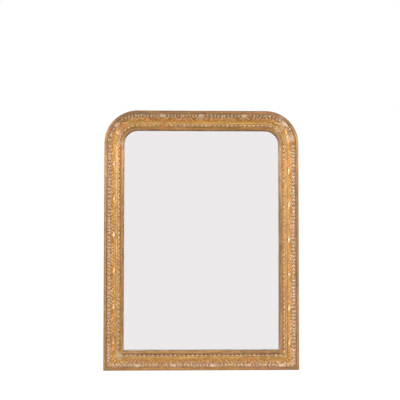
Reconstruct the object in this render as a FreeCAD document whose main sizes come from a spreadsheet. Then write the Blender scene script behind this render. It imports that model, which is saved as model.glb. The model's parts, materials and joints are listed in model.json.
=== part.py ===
# Arched gilt mirror: a moulded softwood frame with rounded top corners, cast bands of ornament and
# pearls along it, a glass in its rabbet, let-in back boards and two ring hangers.
# X runs to the right, Y towards the wall and Z up. The origin is the bottom centre of the back plane.
import FreeCAD
import Part
import os
import re
import Sketcher
from FreeCAD import Placement, Rotation, Vector

# Driving sizes in millimetres. Widths run inwards from the outer edge of the moulding, and heights
# stand out from the wall.
SIZES = {
    # outline of the frame
    "width": 600,
    "height": 798,
    "corner_radius": 102.6,
    "corner_easing": 3,
    # widths across the moulding
    "edge_radius": 5.5,
    "band_width": 8.6,
    "groove_width": 2.4,
    "crest_width": 12.4,
    "cove_width": 13.6,
    "fillet_width": 4,
    "bead_bed_width": 8.4,
    "cavetto_width": 6.8,
    "sight_band_width": 3.8,
    "sight_bevel": 1,
    "glass_rabbet_width": 6.4,
    "board_step_width": 12,
    # steps of height across the moulding, from the glass outwards
    "lip_thickness": 4.6,
    "sight_step": 1,
    "cavetto_rise": 3.6,
    "cavetto_hollow": 1.1,
    "fillet_step": 4.2,
    "cove_step": 2,
    "cove_rise": 10.1,
    "cove_hollow": 2.3,
    "crest_rise": 3.5,
    "groove_drop": 5.7,
    "groove_depth": 2.2,
    # bed of the ornament
    "bed_slope_width": 1.6,
    "bed_drop": 2.5,
    "bed_setback": 2.9,
    "bed_edge_drop": 2.8,
    # pearls
    "bead_pitch": 13.4,
    "bead_base": 1.2,
    "bead_margin": 0.2,
    "bead_rise": 3.4,
    "bead_crown_half": 1.8,
    "notch_floor": 2.6,
    "notch_slope_share": 0.53,
    "corner_pad": 5,
    # glass, backing and boards
    "glass_thickness": 4,
    "glass_clearance": 1,
    "silver_thickness": 0.3,
    "board_thickness": 8,
    "board_clearance": 1,
    "board_gap": 0.4,
    "block_thickness": 3.7,
    "block_length": 40,
    "block_width": 7,
    # joinery
    "tenon_width": 20,
    "tenon_thickness": 8,
    "tenon_reach": 15,
    "tenon_inset": 13,
    "tenon_height": 10,
    "spline_thickness": 3,
    "spline_height": 11,
    "spline_start": 13,
    "spline_end": 42,
    "spline_half_width": 10,
    # brads of the back boards
    "nail_width": 2,
    "nail_thickness": 1.4,
    "nail_length": 20,
    "nail_edge_distance": 30,
    # ring hangers
    "hanger_drop": 208,
    "bar_radius": 1.5,
    "bar_clearance": 0.05,
    "strap_thickness": 1.4,
    "strap_width": 18,
    "strap_length": 42,
    "strap_corner": 5,
    "ring_gap": 0.75,
    "ring_stock": 3,
    "ring_leg": 8,
    "screw_radius": 1.75,
    "screw_reach": 15,
    "screw_clearance": 0.15,
    "screw_head_radius": 3.3,
    "screw_head_height": 1.6,
    "screw_drop": 31,
    # how far every cut runs past the piece
    "overrun": 5,
}

# Distances inwards from the outer edge, each the start of the band that it names
CREST = "(band_width + groove_width)"
COVE = f"({CREST} + crest_width)"
FILLET = f"({COVE} + cove_width)"
BEAD_BED = f"({FILLET} + fillet_width)"
CAVETTO = f"({BEAD_BED} + bead_bed_width)"
SIGHT_BAND = f"({CAVETTO} + cavetto_width)"
SIGHT_BEVEL = f"({SIGHT_BAND} + sight_band_width)"
SIGHT_EDGE = f"({SIGHT_BEVEL} + sight_bevel)"
GLASS_WALL = f"({SIGHT_EDGE} - glass_rabbet_width)"
BOARD_WALL = f"({GLASS_WALL} - board_step_width)"
BEAD_LINE = f"({BEAD_BED} + bead_bed_width / 2)"
NAIL_LINE = f"({BOARD_WALL} + board_step_width / 2)"

# Heights above the back plane
SILVER_BACK = "(board_thickness + block_thickness)"
GLASS_BACK = f"({SILVER_BACK} + silver_thickness)"
LIP = f"({GLASS_BACK} + glass_thickness)"
LIP_FRONT = f"({LIP} + lip_thickness)"
SIGHT_TOP = f"({LIP_FRONT} + sight_bevel)"
CAVETTO_LOW = f"({SIGHT_TOP} - sight_step)"
BEAD_FLOOR = f"({CAVETTO_LOW} + cavetto_rise)"
BEAD_FOOT = f"({BEAD_FLOOR} + bead_base)"
BEAD_TOP = f"({BEAD_FOOT} + bead_rise)"
FILLET_TOP = f"({BEAD_FLOOR} + fillet_step)"
COVE_EDGE = f"({FILLET_TOP} - cove_step)"
COVE_BED = f"({COVE_EDGE} - bed_edge_drop)"
SHOULDER = f"({COVE_EDGE} + cove_rise)"
CREST_BED = f"({SHOULDER} - bed_drop)"
GROOVE_FLOOR = f"({SHOULDER} - groove_drop)"
BAND_TOP = f"({GROOVE_FLOOR} + groove_depth)"
SIDE_TOP = f"({BAND_TOP} - edge_radius)"

# Straight runs and the places that several pieces share
STILE_LENGTH = "(height - corner_radius)"
TOP_LENGTH = "(width - 2 * corner_radius)"
ARCH_X = "(width / 2 - corner_radius)"
QUARTER_RISE = "(1 - sqrt(2) / 2)"
KNUCKLE_RADIUS = "(bar_radius + bar_clearance + strap_thickness)"
RING_INNER = "(strap_width / 2 + ring_gap)"
RING_OUTER = f"({RING_INNER} + ring_stock)"
HANGER_LINE = f"({BOARD_WALL} / 2)"
HANGER_HEIGHT = "(height - hanger_drop)"

# Closed outlines across the moulding as (inwards, height) points. A third entry is the rise of an
# arc to the next point, positive where the arc swells out of the material.
WOOD_SECTION = [
    ("0", "0"),
    ("0", SIDE_TOP, f"edge_radius * {QUARTER_RISE}"),
    ("edge_radius", BAND_TOP),
    ("band_width", BAND_TOP),
    ("band_width", GROOVE_FLOOR),
    (CREST, GROOVE_FLOOR),
    (f"{CREST} + bed_slope_width", CREST_BED),
    (f"{COVE} - bed_setback", CREST_BED),
    (FILLET, COVE_BED),
    (FILLET, FILLET_TOP),
    (BEAD_BED, FILLET_TOP),
    (BEAD_BED, BEAD_FLOOR),
    (CAVETTO, BEAD_FLOOR),
    (f"{CAVETTO} + cavetto_width / 2", f"({BEAD_FLOOR} + {CAVETTO_LOW}) / 2 - cavetto_hollow"),
    (SIGHT_BAND, CAVETTO_LOW),
    (SIGHT_BAND, SIGHT_TOP),
    (SIGHT_BEVEL, SIGHT_TOP),
    (SIGHT_EDGE, LIP_FRONT),
    (SIGHT_EDGE, LIP),
    (GLASS_WALL, LIP),
    (GLASS_WALL, "board_thickness"),
    (BOARD_WALL, "board_thickness"),
    (BOARD_WALL, "0"),
]
ORNAMENT_SECTION = [
    (CREST, GROOVE_FLOOR),
    (CREST, SHOULDER, "crest_rise"),
    (COVE, SHOULDER, "-cove_hollow"),
    (FILLET, COVE_EDGE),
    (FILLET, COVE_BED),
    (f"{COVE} - bed_setback", CREST_BED),
    (f"{CREST} + bed_slope_width", CREST_BED),
]
BEAD_SECTION = [
    (f"{BEAD_BED} + bead_margin", BEAD_FLOOR),
    (f"{BEAD_BED} + bead_margin", BEAD_FOOT),
    (f"{BEAD_LINE} - bead_crown_half", BEAD_TOP),
    (f"{BEAD_LINE} + bead_crown_half", BEAD_TOP),
    (f"{CAVETTO} - bead_margin", BEAD_FOOT),
    (f"{CAVETTO} - bead_margin", BEAD_FLOOR),
]

doc = FreeCAD.newDocument("arched_mirror")
sheet = doc.addObject("Spreadsheet::Sheet", "Sizes")
for row, (alias, number) in enumerate(SIZES.items(), start=1):
    sheet.set(f"A{row}", alias)
    sheet.set(f"B{row}", str(number))
    sheet.setAlias(f"B{row}", alias)
doc.recompute()

parts = {}


def linked(expression):
    """The expression with every size name turned into a reference to its cell on the sheet."""
    return re.sub(r"[a-z_]+", lambda m: f"Sizes.{m[0]}" if m[0] in SIZES else m[0], expression)


def value(expression):
    """The number that an expression on the sheet gives."""
    return float(sheet.evalExpression(linked(expression)))


def bind(thing, **properties):
    """Binds properties of a document object to expressions on the sheet."""
    for name, expression in properties.items():
        thing.setExpression(name, linked(expression))


def place(thing, x="0", y="0", z="0"):
    """Binds where a document object stands."""
    for axis, expression in zip("xyz", (x, y, z)):
        thing.setExpression(f"Placement.Base.{axis}", linked(expression))


def new_part(kind, label):
    """A document object that is written to a file under its label."""
    thing = doc.addObject(kind, label)
    thing.Label = label
    parts[label] = thing
    return thing


def origin_feature(body, role):
    """An origin plane or axis of a body."""
    return next(feature for feature in body.Origin.OriginFeatures if feature.Role == role)


def draw(sketch, points, side=1):
    """Draws a closed outline of (x, y) expressions and ties every point and arc to the sheet."""
    corners = [Vector(value(point[0]), value(point[1]), 0) for point in points]
    edges = []
    for index, point in enumerate(points):
        start = corners[index]
        end = corners[(index + 1) % len(points)]
        if len(point) == 2:
            edge = Part.LineSegment(start, end)
        else:
            chord = end - start
            to_left = Vector(-chord.y, chord.x, 0).normalize()
            edge = Part.Arc(start, (start + end) * 0.5 + to_left * value(point[2]) * side, end)
        edges.append(sketch.addGeometry(edge))
    for index, point in enumerate(points):
        following = (index + 1) % len(points)
        at_start = 1 if sketch.getPoint(edges[index], 1).isEqual(corners[index], 1e-6) else 2
        at_next = 1 if sketch.getPoint(edges[following], 1).isEqual(corners[following], 1e-6) else 2
        ends = (edges[index], 3 - at_start, edges[following], at_next)
        sketch.addConstraint(Sketcher.Constraint("Coincident", *ends))
        for kind, number, expression in zip(("DistanceX", "DistanceY"), corners[index], point):
            tie = Sketcher.Constraint(kind, -1, 1, edges[index], at_start, number)
            sketch.setExpression(f"Constraints[{sketch.addConstraint(tie)}]", linked(expression))
        if len(point) == 3:
            run = f"(({points[following][0]}) - ({point[0]}))"
            climb = f"(({points[following][1]}) - ({point[1]}))"
            radius = f"({run}^2 + {climb}^2) / (8 * abs({point[2]})) + abs({point[2]}) / 2"
            tie = Sketcher.Constraint("Radius", edges[index], value(radius))
            sketch.setExpression(f"Constraints[{sketch.addConstraint(tie)}]", linked(radius))


def draw_circle(sketch, x, y, radius):
    """Draws a circle whose centre and radius are tied to the sheet."""
    centre = Vector(value(x), value(y), 0)
    edge = sketch.addGeometry(Part.Circle(centre, Vector(0, 0, 1), value(radius)))
    for kind, number, expression in zip(("DistanceX", "DistanceY"), centre, (x, y)):
        tie = Sketcher.Constraint(kind, -1, 1, edge, 3, number)
        sketch.setExpression(f"Constraints[{sketch.addConstraint(tie)}]", linked(expression))
    tie = Sketcher.Constraint("Radius", edge, value(radius))
    sketch.setExpression(f"Constraints[{sketch.addConstraint(tie)}]", linked(radius))


def new_sketch(body, name, role, offset="0"):
    """A sketch on one of the body's origin planes, moved along the plane's normal by the offset."""
    sketch = body.newObject("Sketcher::SketchObject", name)
    sketch.AttachmentSupport = [(origin_feature(body, role), "")]
    sketch.MapMode = "FlatFace"
    sketch.setExpression("AttachmentOffset.Base.z", linked(offset))
    return sketch


def pad(body, sketch, length, both_ways=False, backwards=False):
    """Extrudes a sketch into the body."""
    feature = body.newObject("PartDesign::Pad", f"{sketch.Name}_pad")
    feature.Profile = sketch
    feature.SideType = "Symmetric" if both_ways else "One side"
    feature.Reversed = backwards
    feature.Refine = False
    bind(feature, Length=length)


def cut(body, sketch, depth=None, forwards=False):
    """Cuts a sketch out of the body, right through if no depth is given, and tests that it cut."""
    doc.recompute()
    before = body.Shape.Volume
    feature = body.newObject("PartDesign::Pocket", f"{sketch.Name}_cut")
    feature.Profile = sketch
    if depth is None:
        feature.Type = "ThroughAll"
        feature.SideType = "Symmetric"
    else:
        feature.Reversed = forwards
        bind(feature, Length=depth)
    doc.recompute()
    if body.Shape.Volume >= before:
        raise RuntimeError(f"{feature.Name} removes nothing")
    return feature


def rectangle(x_low, x_high, y_low, y_high):
    """Corner points of a rectangle."""
    return [(x_low, y_low), (x_high, y_low), (x_high, y_high), (x_low, y_high)]


# The three straight members. Each has the origin plane that its section is drawn on, how a section
# point lands on that plane, how a point on its face, given as the distance inwards and the distance
# along the member, lands on the XZ plane, which way round the two mappings leave an arc, and the
# plane that is seen from across the member with how a distance along it and a height land there.
class Straight:
    def __init__(self, plane, axis, length, base, section_at, section_side, face_at, face_side,
                 side_plane, side_at):
        self.plane = plane
        self.axis = axis
        self.length = length
        self.base = base
        self.section_at = section_at
        self.section_side = section_side
        self.face_at = face_at
        self.face_side = face_side
        self.side_plane = side_plane
        self.side_at = side_at


MEMBERS = {
    "left_stile": Straight(
        "XY_Plane", "Z_Axis", STILE_LENGTH, ("-width / 2", "0", "0"),
        lambda u, v: (u, f"-({v})"), -1, lambda u, run: (u, run), 1,
        "YZ_Plane", lambda run, v: (f"-({v})", run),
    ),
    "right_stile": Straight(
        "XY_Plane", "Z_Axis", STILE_LENGTH, ("width / 2", "0", "0"),
        lambda u, v: (f"-({u})", f"-({v})"), 1, lambda u, run: (f"-({u})", run), -1,
        "YZ_Plane", lambda run, v: (f"-({v})", run),
    ),
    "bottom_rail": Straight(
        "YZ_Plane", "X_Axis", "width", ("-width / 2", "0", "0"),
        lambda u, v: (f"-({v})", u), 1, lambda u, run: (run, u), -1,
        "XY_Plane", lambda run, v: (run, f"-({v})"),
    ),
}
SIDES = {"left": -1, "right": 1}


def mapped(points, at):
    """Points with their first two entries turned by a mapping."""
    return [(*at(point[0], point[1]), *point[2:]) for point in points]


def far_end(at):
    """The mapping of a point that is measured from the right-hand end of the bottom rail."""
    return lambda u, run: at(u, f"width - ({run})")


def straight_body(label, member, section):
    """A length of one of the sections along a straight member."""
    body = new_part("PartDesign::Body", label)
    sketch = new_sketch(body, f"{label}_section", member.plane)
    draw(sketch, mapped(section, member.section_at), member.section_side)
    pad(body, sketch, member.length)
    place(body, *member.base)
    return body


def arch_body(label, section):
    """One of the sections carried over the head, up one rounded corner and down the other."""
    body = new_part("PartDesign::Body", label)
    points = mapped(section, lambda u, v: (f"-({v})", f"corner_radius - ({u})"))
    sketches = {}
    for side, hand in SIDES.items():
        sketches[hand] = new_sketch(body, f"{label}_{side}_section", "YZ_Plane", f"{hand} * {ARCH_X}")
        draw(sketches[hand], points, -1)
    pad(body, sketches[-1], TOP_LENGTH)
    for side, hand in SIDES.items():
        turn = body.newObject("PartDesign::Revolution", f"{label}_{side}_turn")
        turn.Profile = sketches[hand]
        turn.ReferenceAxis = (sketches[hand], ["H_Axis"])
        turn.Angle = 90
        turn.Reversed = hand < 0
    place(body, "0", "0", STILE_LENGTH)
    return body


def mitre(body, name, at):
    """Cuts the end of a member at 45 degrees, leaving what is further along than inwards."""
    beyond = f"({SIGHT_EDGE} + overrun)"
    sketch = new_sketch(body, f"{name}_mitre", "XZ_Plane")
    draw(sketch, mapped([("-overrun", "-overrun"), (beyond, beyond), (beyond, "-overrun")], at))
    cut(body, sketch)


def ease_corner(body, name, at, side):
    """Rounds the outer bottom corner where two members meet."""
    outline = [
        ("-overrun", "-overrun"),
        ("corner_easing", "-overrun"),
        ("corner_easing", "0", f"corner_easing * {QUARTER_RISE}"),
        ("0", "corner_easing"),
        ("-overrun", "corner_easing"),
    ]
    sketch = new_sketch(body, f"{name}_easing", "XZ_Plane")
    draw(sketch, mapped(outline, at), side)
    cut(body, sketch)


def spline_outline():
    """The flat key across a mitre, as points inwards and along."""
    across = "(spline_half_width / sqrt(2))"
    return [
        (f"spline_start - {across}", f"spline_start + {across}"),
        (f"spline_end - {across}", f"spline_end + {across}"),
        (f"spline_end + {across}", f"spline_end - {across}"),
        (f"spline_start + {across}", f"spline_start - {across}"),
    ]


def cut_spline_slot(body, name, at):
    """Cuts the slot of a mitre key, from its front face back."""
    sketch = new_sketch(body, f"{name}_slot", "XZ_Plane", "spline_height + spline_thickness")
    draw(sketch, mapped(spline_outline(), at))
    cut(body, sketch, depth="spline_thickness")


def nail_runs(board):
    """Heights of the two nails at each end of a back board."""
    low, high = board_ends(board)
    return [f"{low} + nail_edge_distance", f"{high} - nail_edge_distance"]


def board_ends(board):
    """Lowest and highest edge of a back board. Each of the three fills a third of the opening."""
    bottom = f"({BOARD_WALL} + board_clearance)"
    third = f"((height - 2 * {BOARD_WALL} - 2 * board_clearance - 2 * board_gap) / 3)"
    low = f"({bottom} + {board} * ({third} + board_gap))"
    return low, f"({low} + {third})"


def nail_levels():
    """Heights of all the nails, counted from below."""
    levels = [level for board in range(3) for level in nail_runs(board)]
    levels[-1] = f"({STILE_LENGTH} - nail_edge_distance)"
    return levels


def nail_hole(x, z):
    """Outline of the hole of a brad."""
    return rectangle(f"{x} - nail_width / 2", f"{x} + nail_width / 2",
                     f"{z} - nail_thickness / 2", f"{z} + nail_thickness / 2")


def make_stile(label):
    """A stile: mitred below, mortised above, with holes for its nails and its hanger screw."""
    member = MEMBERS[label]
    body = straight_body(label, member, WOOD_SECTION)
    mitre(body, label, member.face_at)
    ease_corner(body, label, member.face_at, member.face_side)
    cut_spline_slot(body, label, member.face_at)

    sketch = new_sketch(body, f"{label}_mortise", "XY_Plane", STILE_LENGTH)
    draw(sketch, mapped(tenon_section(), member.section_at))
    cut(body, sketch, depth="tenon_reach")

    sketch = new_sketch(body, f"{label}_nail_holes", "XZ_Plane", "board_thickness")
    for level in nail_levels():
        draw(sketch, nail_hole(*member.face_at(NAIL_LINE, level)))
    cut(body, sketch, depth="nail_length - board_thickness", forwards=True)

    sketch = new_sketch(body, f"{label}_screw_hole", "XZ_Plane")
    at_screw = member.face_at(HANGER_LINE, f"{HANGER_HEIGHT} - screw_drop")
    draw_circle(sketch, *at_screw, "screw_radius")
    cut(body, sketch, depth="screw_reach", forwards=True)


def tenon_section():
    """The loose tenon across the moulding, as points inwards and high."""
    return rectangle("tenon_inset", "tenon_inset + tenon_width",
                     "tenon_height", "tenon_height + tenon_thickness")


def make_bottom_rail():
    """The bottom rail, mitred and slotted at both ends."""
    member = MEMBERS["bottom_rail"]
    body = straight_body("bottom_rail", member, WOOD_SECTION)
    for name, at, side in (("near", member.face_at, -1), ("far", far_end(member.face_at), 1)):
        mitre(body, name, at)
        ease_corner(body, name, at, side)
        cut_spline_slot(body, name, at)


def make_arch_rail():
    """The head, cut from one wide board, moulded round its corners and mortised in both feet."""
    body = arch_body("arch_rail", WOOD_SECTION)
    for side, hand in SIDES.items():
        sketch = new_sketch(body, f"arch_{side}_mortise", "XY_Plane")
        at = lambda u, v: (f"{hand} * (width / 2 - ({u}))", f"-({v})")
        draw(sketch, mapped(tenon_section(), at))
        cut(body, sketch, depth="tenon_reach", forwards=True)


def make_ornaments():
    """The cast bands of leaves on the crest and in the cove."""
    for name, member in MEMBERS.items():
        mitred_strip(f"{name.split('_')[0]}_ornament", member, ORNAMENT_SECTION)
    arch_body("arch_ornament", ORNAMENT_SECTION)


def mitred_strip(label, member, section):
    """A strip along a straight member, mitred where the frame is."""
    body = straight_body(label, member, section)
    mitre(body, label, member.face_at)
    if member is MEMBERS["bottom_rail"]:
        mitre(body, f"{label}_far", far_end(member.face_at))
    return body


def notch_outline(centre):
    """The gap between two pearls, seen from across the strip, as points along and high."""
    half = "notch_floor / 2"
    reach = "(bead_rise + overrun)"
    wide = f"({half} + notch_slope_share * {reach})"
    top = f"{BEAD_FOOT} + {reach}"
    return [(f"{centre} - {half}", BEAD_FOOT), (f"{centre} + {half}", BEAD_FOOT),
            (f"{centre} + {wide}", top), (f"{centre} - {wide}", top)]


def notch_row(body, name, notch, axis, length, count):
    """Repeats a gap between pearls along an axis."""
    pattern = body.newObject("PartDesign::LinearPattern", f"{name}_notches")
    pattern.Originals = [notch]
    pattern.Direction = (origin_feature(body, axis), [""])
    pattern.Refine = False
    bind(pattern, Length=length, Occurrences=count)
    body.Tip = pattern


def bead_count(length):
    """How many pearls fill a length."""
    return f"round(({length}) / bead_pitch)"


def make_straight_beads():
    """A strip of pearls on each straight member, with a plain pad at the mitre."""
    first = f"({BEAD_LINE} + corner_pad)"
    for name, member in MEMBERS.items():
        label = f"{name.split('_')[0]}_bead_strip"
        body = mitred_strip(label, member, BEAD_SECTION)
        length = f"({member.length} - {first})"
        if name == "bottom_rail":
            length = f"({member.length} - 2 * {first})"
        sketch = new_sketch(body, f"{label}_notch", member.side_plane)
        draw(sketch, mapped(notch_outline(first), member.side_at))
        notch = cut(body, sketch)
        notch_row(body, label, notch, member.axis, length, f"{bead_count(length)} + 1")


def make_arch_beads():
    """The strip of pearls over the head."""
    body = arch_body("arch_bead_strip", BEAD_SECTION)
    count = bead_count(TOP_LENGTH)
    pitch = f"({TOP_LENGTH} / {count})"
    sketch = new_sketch(body, "arch_bead_top_notch", "XY_Plane")
    at = lambda run, v: (run, f"-({v})")
    draw(sketch, mapped(notch_outline(f"(-{ARCH_X} + {pitch})"), at))
    notch = cut(body, sketch)
    notch_row(body, "arch_bead_top", notch, "X_Axis", f"{pitch} * ({count} - 2)", f"{count} - 1")
    for side, hand in SIDES.items():
        outer = f"{hand} * (width / 2 - {BEAD_BED})"
        sketch = new_sketch(body, f"arch_bead_{side}_notch", "YZ_Plane", outer)
        draw(sketch, mapped(notch_outline("0"), lambda run, v: (f"-({v})", run)))
        notch = cut(body, sketch, depth="bead_bed_width", forwards=hand < 0)
        pattern = body.newObject("PartDesign::PolarPattern", f"arch_bead_{side}_notches")
        pattern.Originals = [notch]
        pattern.Axis = (doc.getObject(f"arch_bead_strip_{side}_section"), ["H_Axis"])
        pattern.Reversed = hand > 0
        pattern.Refine = False
        quarter = f"pi / 2 * (corner_radius - {BEAD_LINE})"
        bind(pattern, Angle="90", Occurrences=f"{bead_count(quarter)} + 1")
        body.Tip = pattern


def arched_outline(wall, clearance):
    """The outline of a sheet that lies in a rabbet with rounded top corners."""
    half = f"(width / 2 - {wall} - {clearance})"
    low = f"({wall} + {clearance})"
    high = f"(height - {wall} - {clearance})"
    radius = f"(corner_radius - {wall} - {clearance})"
    return [
        (f"-{half}", low),
        (half, low),
        (half, f"{high} - {radius}", f"-{radius} * {QUARTER_RISE}"),
        (f"{half} - {radius}", high),
        (f"-{half} + {radius}", high, f"-{radius} * {QUARTER_RISE}"),
        (f"-{half}", f"{high} - {radius}"),
    ]


def make_sheet(label, back, thickness):
    """The glass or the silver behind it."""
    body = new_part("PartDesign::Body", label)
    sketch = new_sketch(body, f"{label}_outline", "XZ_Plane", back)
    draw(sketch, arched_outline(GLASS_WALL, "glass_clearance"))
    pad(body, sketch, thickness)


def make_back_boards():
    """Three planks let into the back, with the top one rounded like the frame."""
    for board, name in enumerate(("lower", "middle", "upper")):
        label = f"{name}_back_board"
        low, high = board_ends(board)
        half = f"(width / 2 - {BOARD_WALL} - board_clearance)"
        outline = rectangle(f"-{half}", half, low, high)
        if name == "upper":
            outline = arched_outline(BOARD_WALL, "board_clearance")
            outline[0] = (f"-{half}", low)
            outline[1] = (half, low)
        body = new_part("PartDesign::Body", label)
        sketch = new_sketch(body, f"{label}_outline", "XZ_Plane")
        draw(sketch, outline)
        pad(body, sketch, "board_thickness")
        levels = nail_levels()[2 * board:2 * board + 2]
        holes = new_sketch(body, f"{label}_nail_holes", "XZ_Plane")
        for hand in SIDES.values():
            for level in levels:
                draw(holes, nail_hole(f"{hand} * (width / 2 - {NAIL_LINE})", level))
        cut(body, holes)


def new_box(name, x_size, y_size, z_size, x, y, z):
    """A plain box with its lowest corner at x, y, z."""
    box = doc.addObject("Part::Box", name)
    bind(box, Length=x_size, Width=y_size, Height=z_size)
    place(box, x, y, z)
    return box


def new_group(label, members):
    """Separate solids of one kind under one name."""
    group = new_part("Part::Compound", label)
    group.Links = members


def make_nails():
    """Headless cut brads, driven flush with the backs of the boards."""
    nails = []
    for side, hand in SIDES.items():
        x = f"{hand} * (width / 2 - {NAIL_LINE})"
        for index, level in enumerate(nail_levels()):
            nails.append(new_box(f"{side}_nail_{index}", "nail_width", "nail_length",
                                 "nail_thickness", f"{x} - nail_width / 2", "-nail_length",
                                 f"{level} - nail_thickness / 2"))
    new_group("back_board_nails", nails)


def make_glass_blocks():
    """Small blocks between the silvered glass and the boards, against the wall of the rabbet."""
    blocks = []
    quarter = f"({STILE_LENGTH} / 4)"
    for side, hand in SIDES.items():
        x = f"{hand} * (width / 2 - {GLASS_WALL}) - {(1 + hand) // 2} * block_width"
        for index in (1, 2, 3):
            z = f"{index} * {quarter} - block_length / 2"
            blocks.append(new_box(f"{side}_block_{index}", "block_width", "block_thickness",
                                  "block_length", x, f"-{SILVER_BACK}", z))
    for level, z in (("low", GLASS_WALL), ("high", f"height - {GLASS_WALL} - block_width")):
        for side, hand in SIDES.items():
            x = f"{hand} * width / 6 - block_length / 2"
            blocks.append(new_box(f"{level}_{side}_block", "block_length", "block_thickness",
                                  "block_width", x, f"-{SILVER_BACK}", z))
    new_group("glass_blocks", blocks)


def make_arch_tenons():
    """Loose tenons between the stiles and the feet of the head."""
    tenons = []
    for side, hand in SIDES.items():
        x = f"{hand} * (width / 2 - tenon_inset) - {(1 + hand) // 2} * tenon_width"
        tenons.append(new_box(f"{side}_tenon", "tenon_width", "tenon_thickness", "2 * tenon_reach",
                              x, "-(tenon_height + tenon_thickness)", f"{STILE_LENGTH} - tenon_reach"))
    new_group("arch_tenons", tenons)


def make_mitre_splines():
    """The flat keys hidden in the two bottom mitres."""
    splines = []
    for side, hand in SIDES.items():
        body = doc.addObject("PartDesign::Body", f"{side}_spline")
        sketch = new_sketch(body, f"{side}_spline_outline", "XZ_Plane", "spline_height")
        at = lambda u, run: (f"{hand} * (width / 2 - ({u}))", run)
        draw(sketch, mapped(spline_outline(), at))
        pad(body, sketch, "spline_thickness")
        splines.append(body)
    new_group("mitre_splines", splines)


def make_hanger_strap(side, hand):
    """A flat strap with a rolled knuckle round the bar of its ring."""
    label = f"{side}_hanger_strap"
    body = new_part("PartDesign::Body", label)
    knuckle = new_sketch(body, f"{label}_knuckle", "YZ_Plane")
    draw_circle(knuckle, "0", "0", KNUCKLE_RADIUS)
    pad(body, knuckle, "strap_width", both_ways=True)
    plate = new_sketch(body, f"{label}_plate", "XZ_Plane", KNUCKLE_RADIUS)
    half = "(strap_width / 2)"
    outline = [
        (f"-{half}", "0"),
        (f"-{half}", "-strap_length + strap_corner"),
        (f"-{half} + strap_corner", "-strap_length"),
        (f"{half} - strap_corner", "-strap_length"),
        (half, "-strap_length + strap_corner"),
        (half, "0"),
    ]
    draw(plate, outline)
    pad(body, plate, "strap_thickness", backwards=True)
    bore = new_sketch(body, f"{label}_bore", "YZ_Plane")
    draw_circle(bore, "0", "0", "bar_radius + bar_clearance")
    cut(body, bore)
    hole = new_sketch(body, f"{label}_screw_hole", "XZ_Plane")
    draw_circle(hole, "0", "-screw_drop", "screw_radius + screw_clearance")
    cut(body, hole)
    place(body, f"{hand} * (width / 2 - {HANGER_LINE})", KNUCKLE_RADIUS, HANGER_HEIGHT)


def make_hanger_ring(side, hand):
    """A D-shaped ring: a round bar in the knuckle and a flat forged loop that hangs from it."""
    label = f"{side}_hanger_ring"
    body = new_part("PartDesign::Body", label)
    loop = new_sketch(body, f"{label}_loop", "XZ_Plane")
    top = "ring_stock / 2"
    outline = [
        (f"-{RING_OUTER}", top),
        (f"-{RING_OUTER}", "-ring_leg", f"-{RING_OUTER} * {QUARTER_RISE}"),
        ("0", f"-ring_leg - {RING_OUTER}", f"-{RING_OUTER} * {QUARTER_RISE}"),
        (RING_OUTER, "-ring_leg"),
        (RING_OUTER, top),
        (RING_INNER, top),
        (RING_INNER, "-ring_leg", f"{RING_INNER} * {QUARTER_RISE}"),
        ("0", f"-ring_leg - {RING_INNER}", f"{RING_INNER} * {QUARTER_RISE}"),
        (f"-{RING_INNER}", "-ring_leg"),
        (f"-{RING_INNER}", top),
    ]
    draw(loop, outline)
    pad(body, loop, "ring_stock", both_ways=True)
    bar = new_sketch(body, f"{label}_bar", "YZ_Plane")
    draw_circle(bar, "0", "0", "bar_radius")
    pad(body, bar, f"2 * {RING_INNER} + ring_stock", both_ways=True)
    place(body, f"{hand} * (width / 2 - {HANGER_LINE})", KNUCKLE_RADIUS, HANGER_HEIGHT)


def make_hanger_screws():
    """A pan-headed screw through each strap into its stile."""
    screws = []
    face = "strap_thickness"
    z = f"{HANGER_HEIGHT} - screw_drop"
    for side, hand in SIDES.items():
        x = f"{hand} * (width / 2 - {HANGER_LINE})"
        shank = doc.addObject("Part::Cylinder", f"{side}_screw_shank")
        shank.Placement = Placement(Vector(), Rotation(Vector(1, 0, 0), 90))
        bind(shank, Radius="screw_radius", Height=f"screw_reach + {face}")
        place(shank, x, face, z)
        head = doc.addObject("Part::Cylinder", f"{side}_screw_head")
        head.Placement = Placement(Vector(), Rotation(Vector(1, 0, 0), -90))
        bind(head, Radius="screw_head_radius", Height="screw_head_height")
        place(head, x, face, z)
        screw = doc.addObject("Part::Fuse", f"{side}_screw")
        screw.Base = shank
        screw.Tool = head
        screws.append(screw)
    new_group("hanger_screws", screws)


def check_document():
    """Stops if any object failed or any sub-part has no good shape."""
    failed = [thing.Name for thing in doc.Objects if {"Invalid", "Error"} & set(thing.State)]
    if failed:
        raise RuntimeError(f"failed objects: {failed}")
    for label, thing in parts.items():
        if thing.Shape.isNull() or not thing.Shape.isValid() or not thing.Shape.Solids:
            raise RuntimeError(f"{label} has no valid solid")


make_stile("left_stile")
make_stile("right_stile")
make_bottom_rail()
make_arch_rail()
make_ornaments()
make_straight_beads()
make_arch_beads()
make_sheet("mirror_glass", GLASS_BACK, "glass_thickness")
make_sheet("silver_backing", SILVER_BACK, "silver_thickness")
make_back_boards()
make_nails()
make_glass_blocks()
make_arch_tenons()
make_mitre_splines()
for side, hand in SIDES.items():
    make_hanger_strap(side, hand)
    make_hanger_ring(side, hand)
make_hanger_screws()
doc.recompute()
check_document()

os.makedirs("parts", exist_ok=True)
for label, thing in parts.items():
    thing.Shape.exportStep(f"parts/{label}.step")
    print(label, len(thing.Shape.Solids), round(thing.Shape.Volume / 1000, 2))
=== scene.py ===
import bmesh
import bpy
import json
import math
import random
from bpy.props import FloatProperty, FloatVectorProperty, PointerProperty
from bpy.types import Operator, Panel, PropertyGroup
from mathutils import Matrix, Vector


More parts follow.
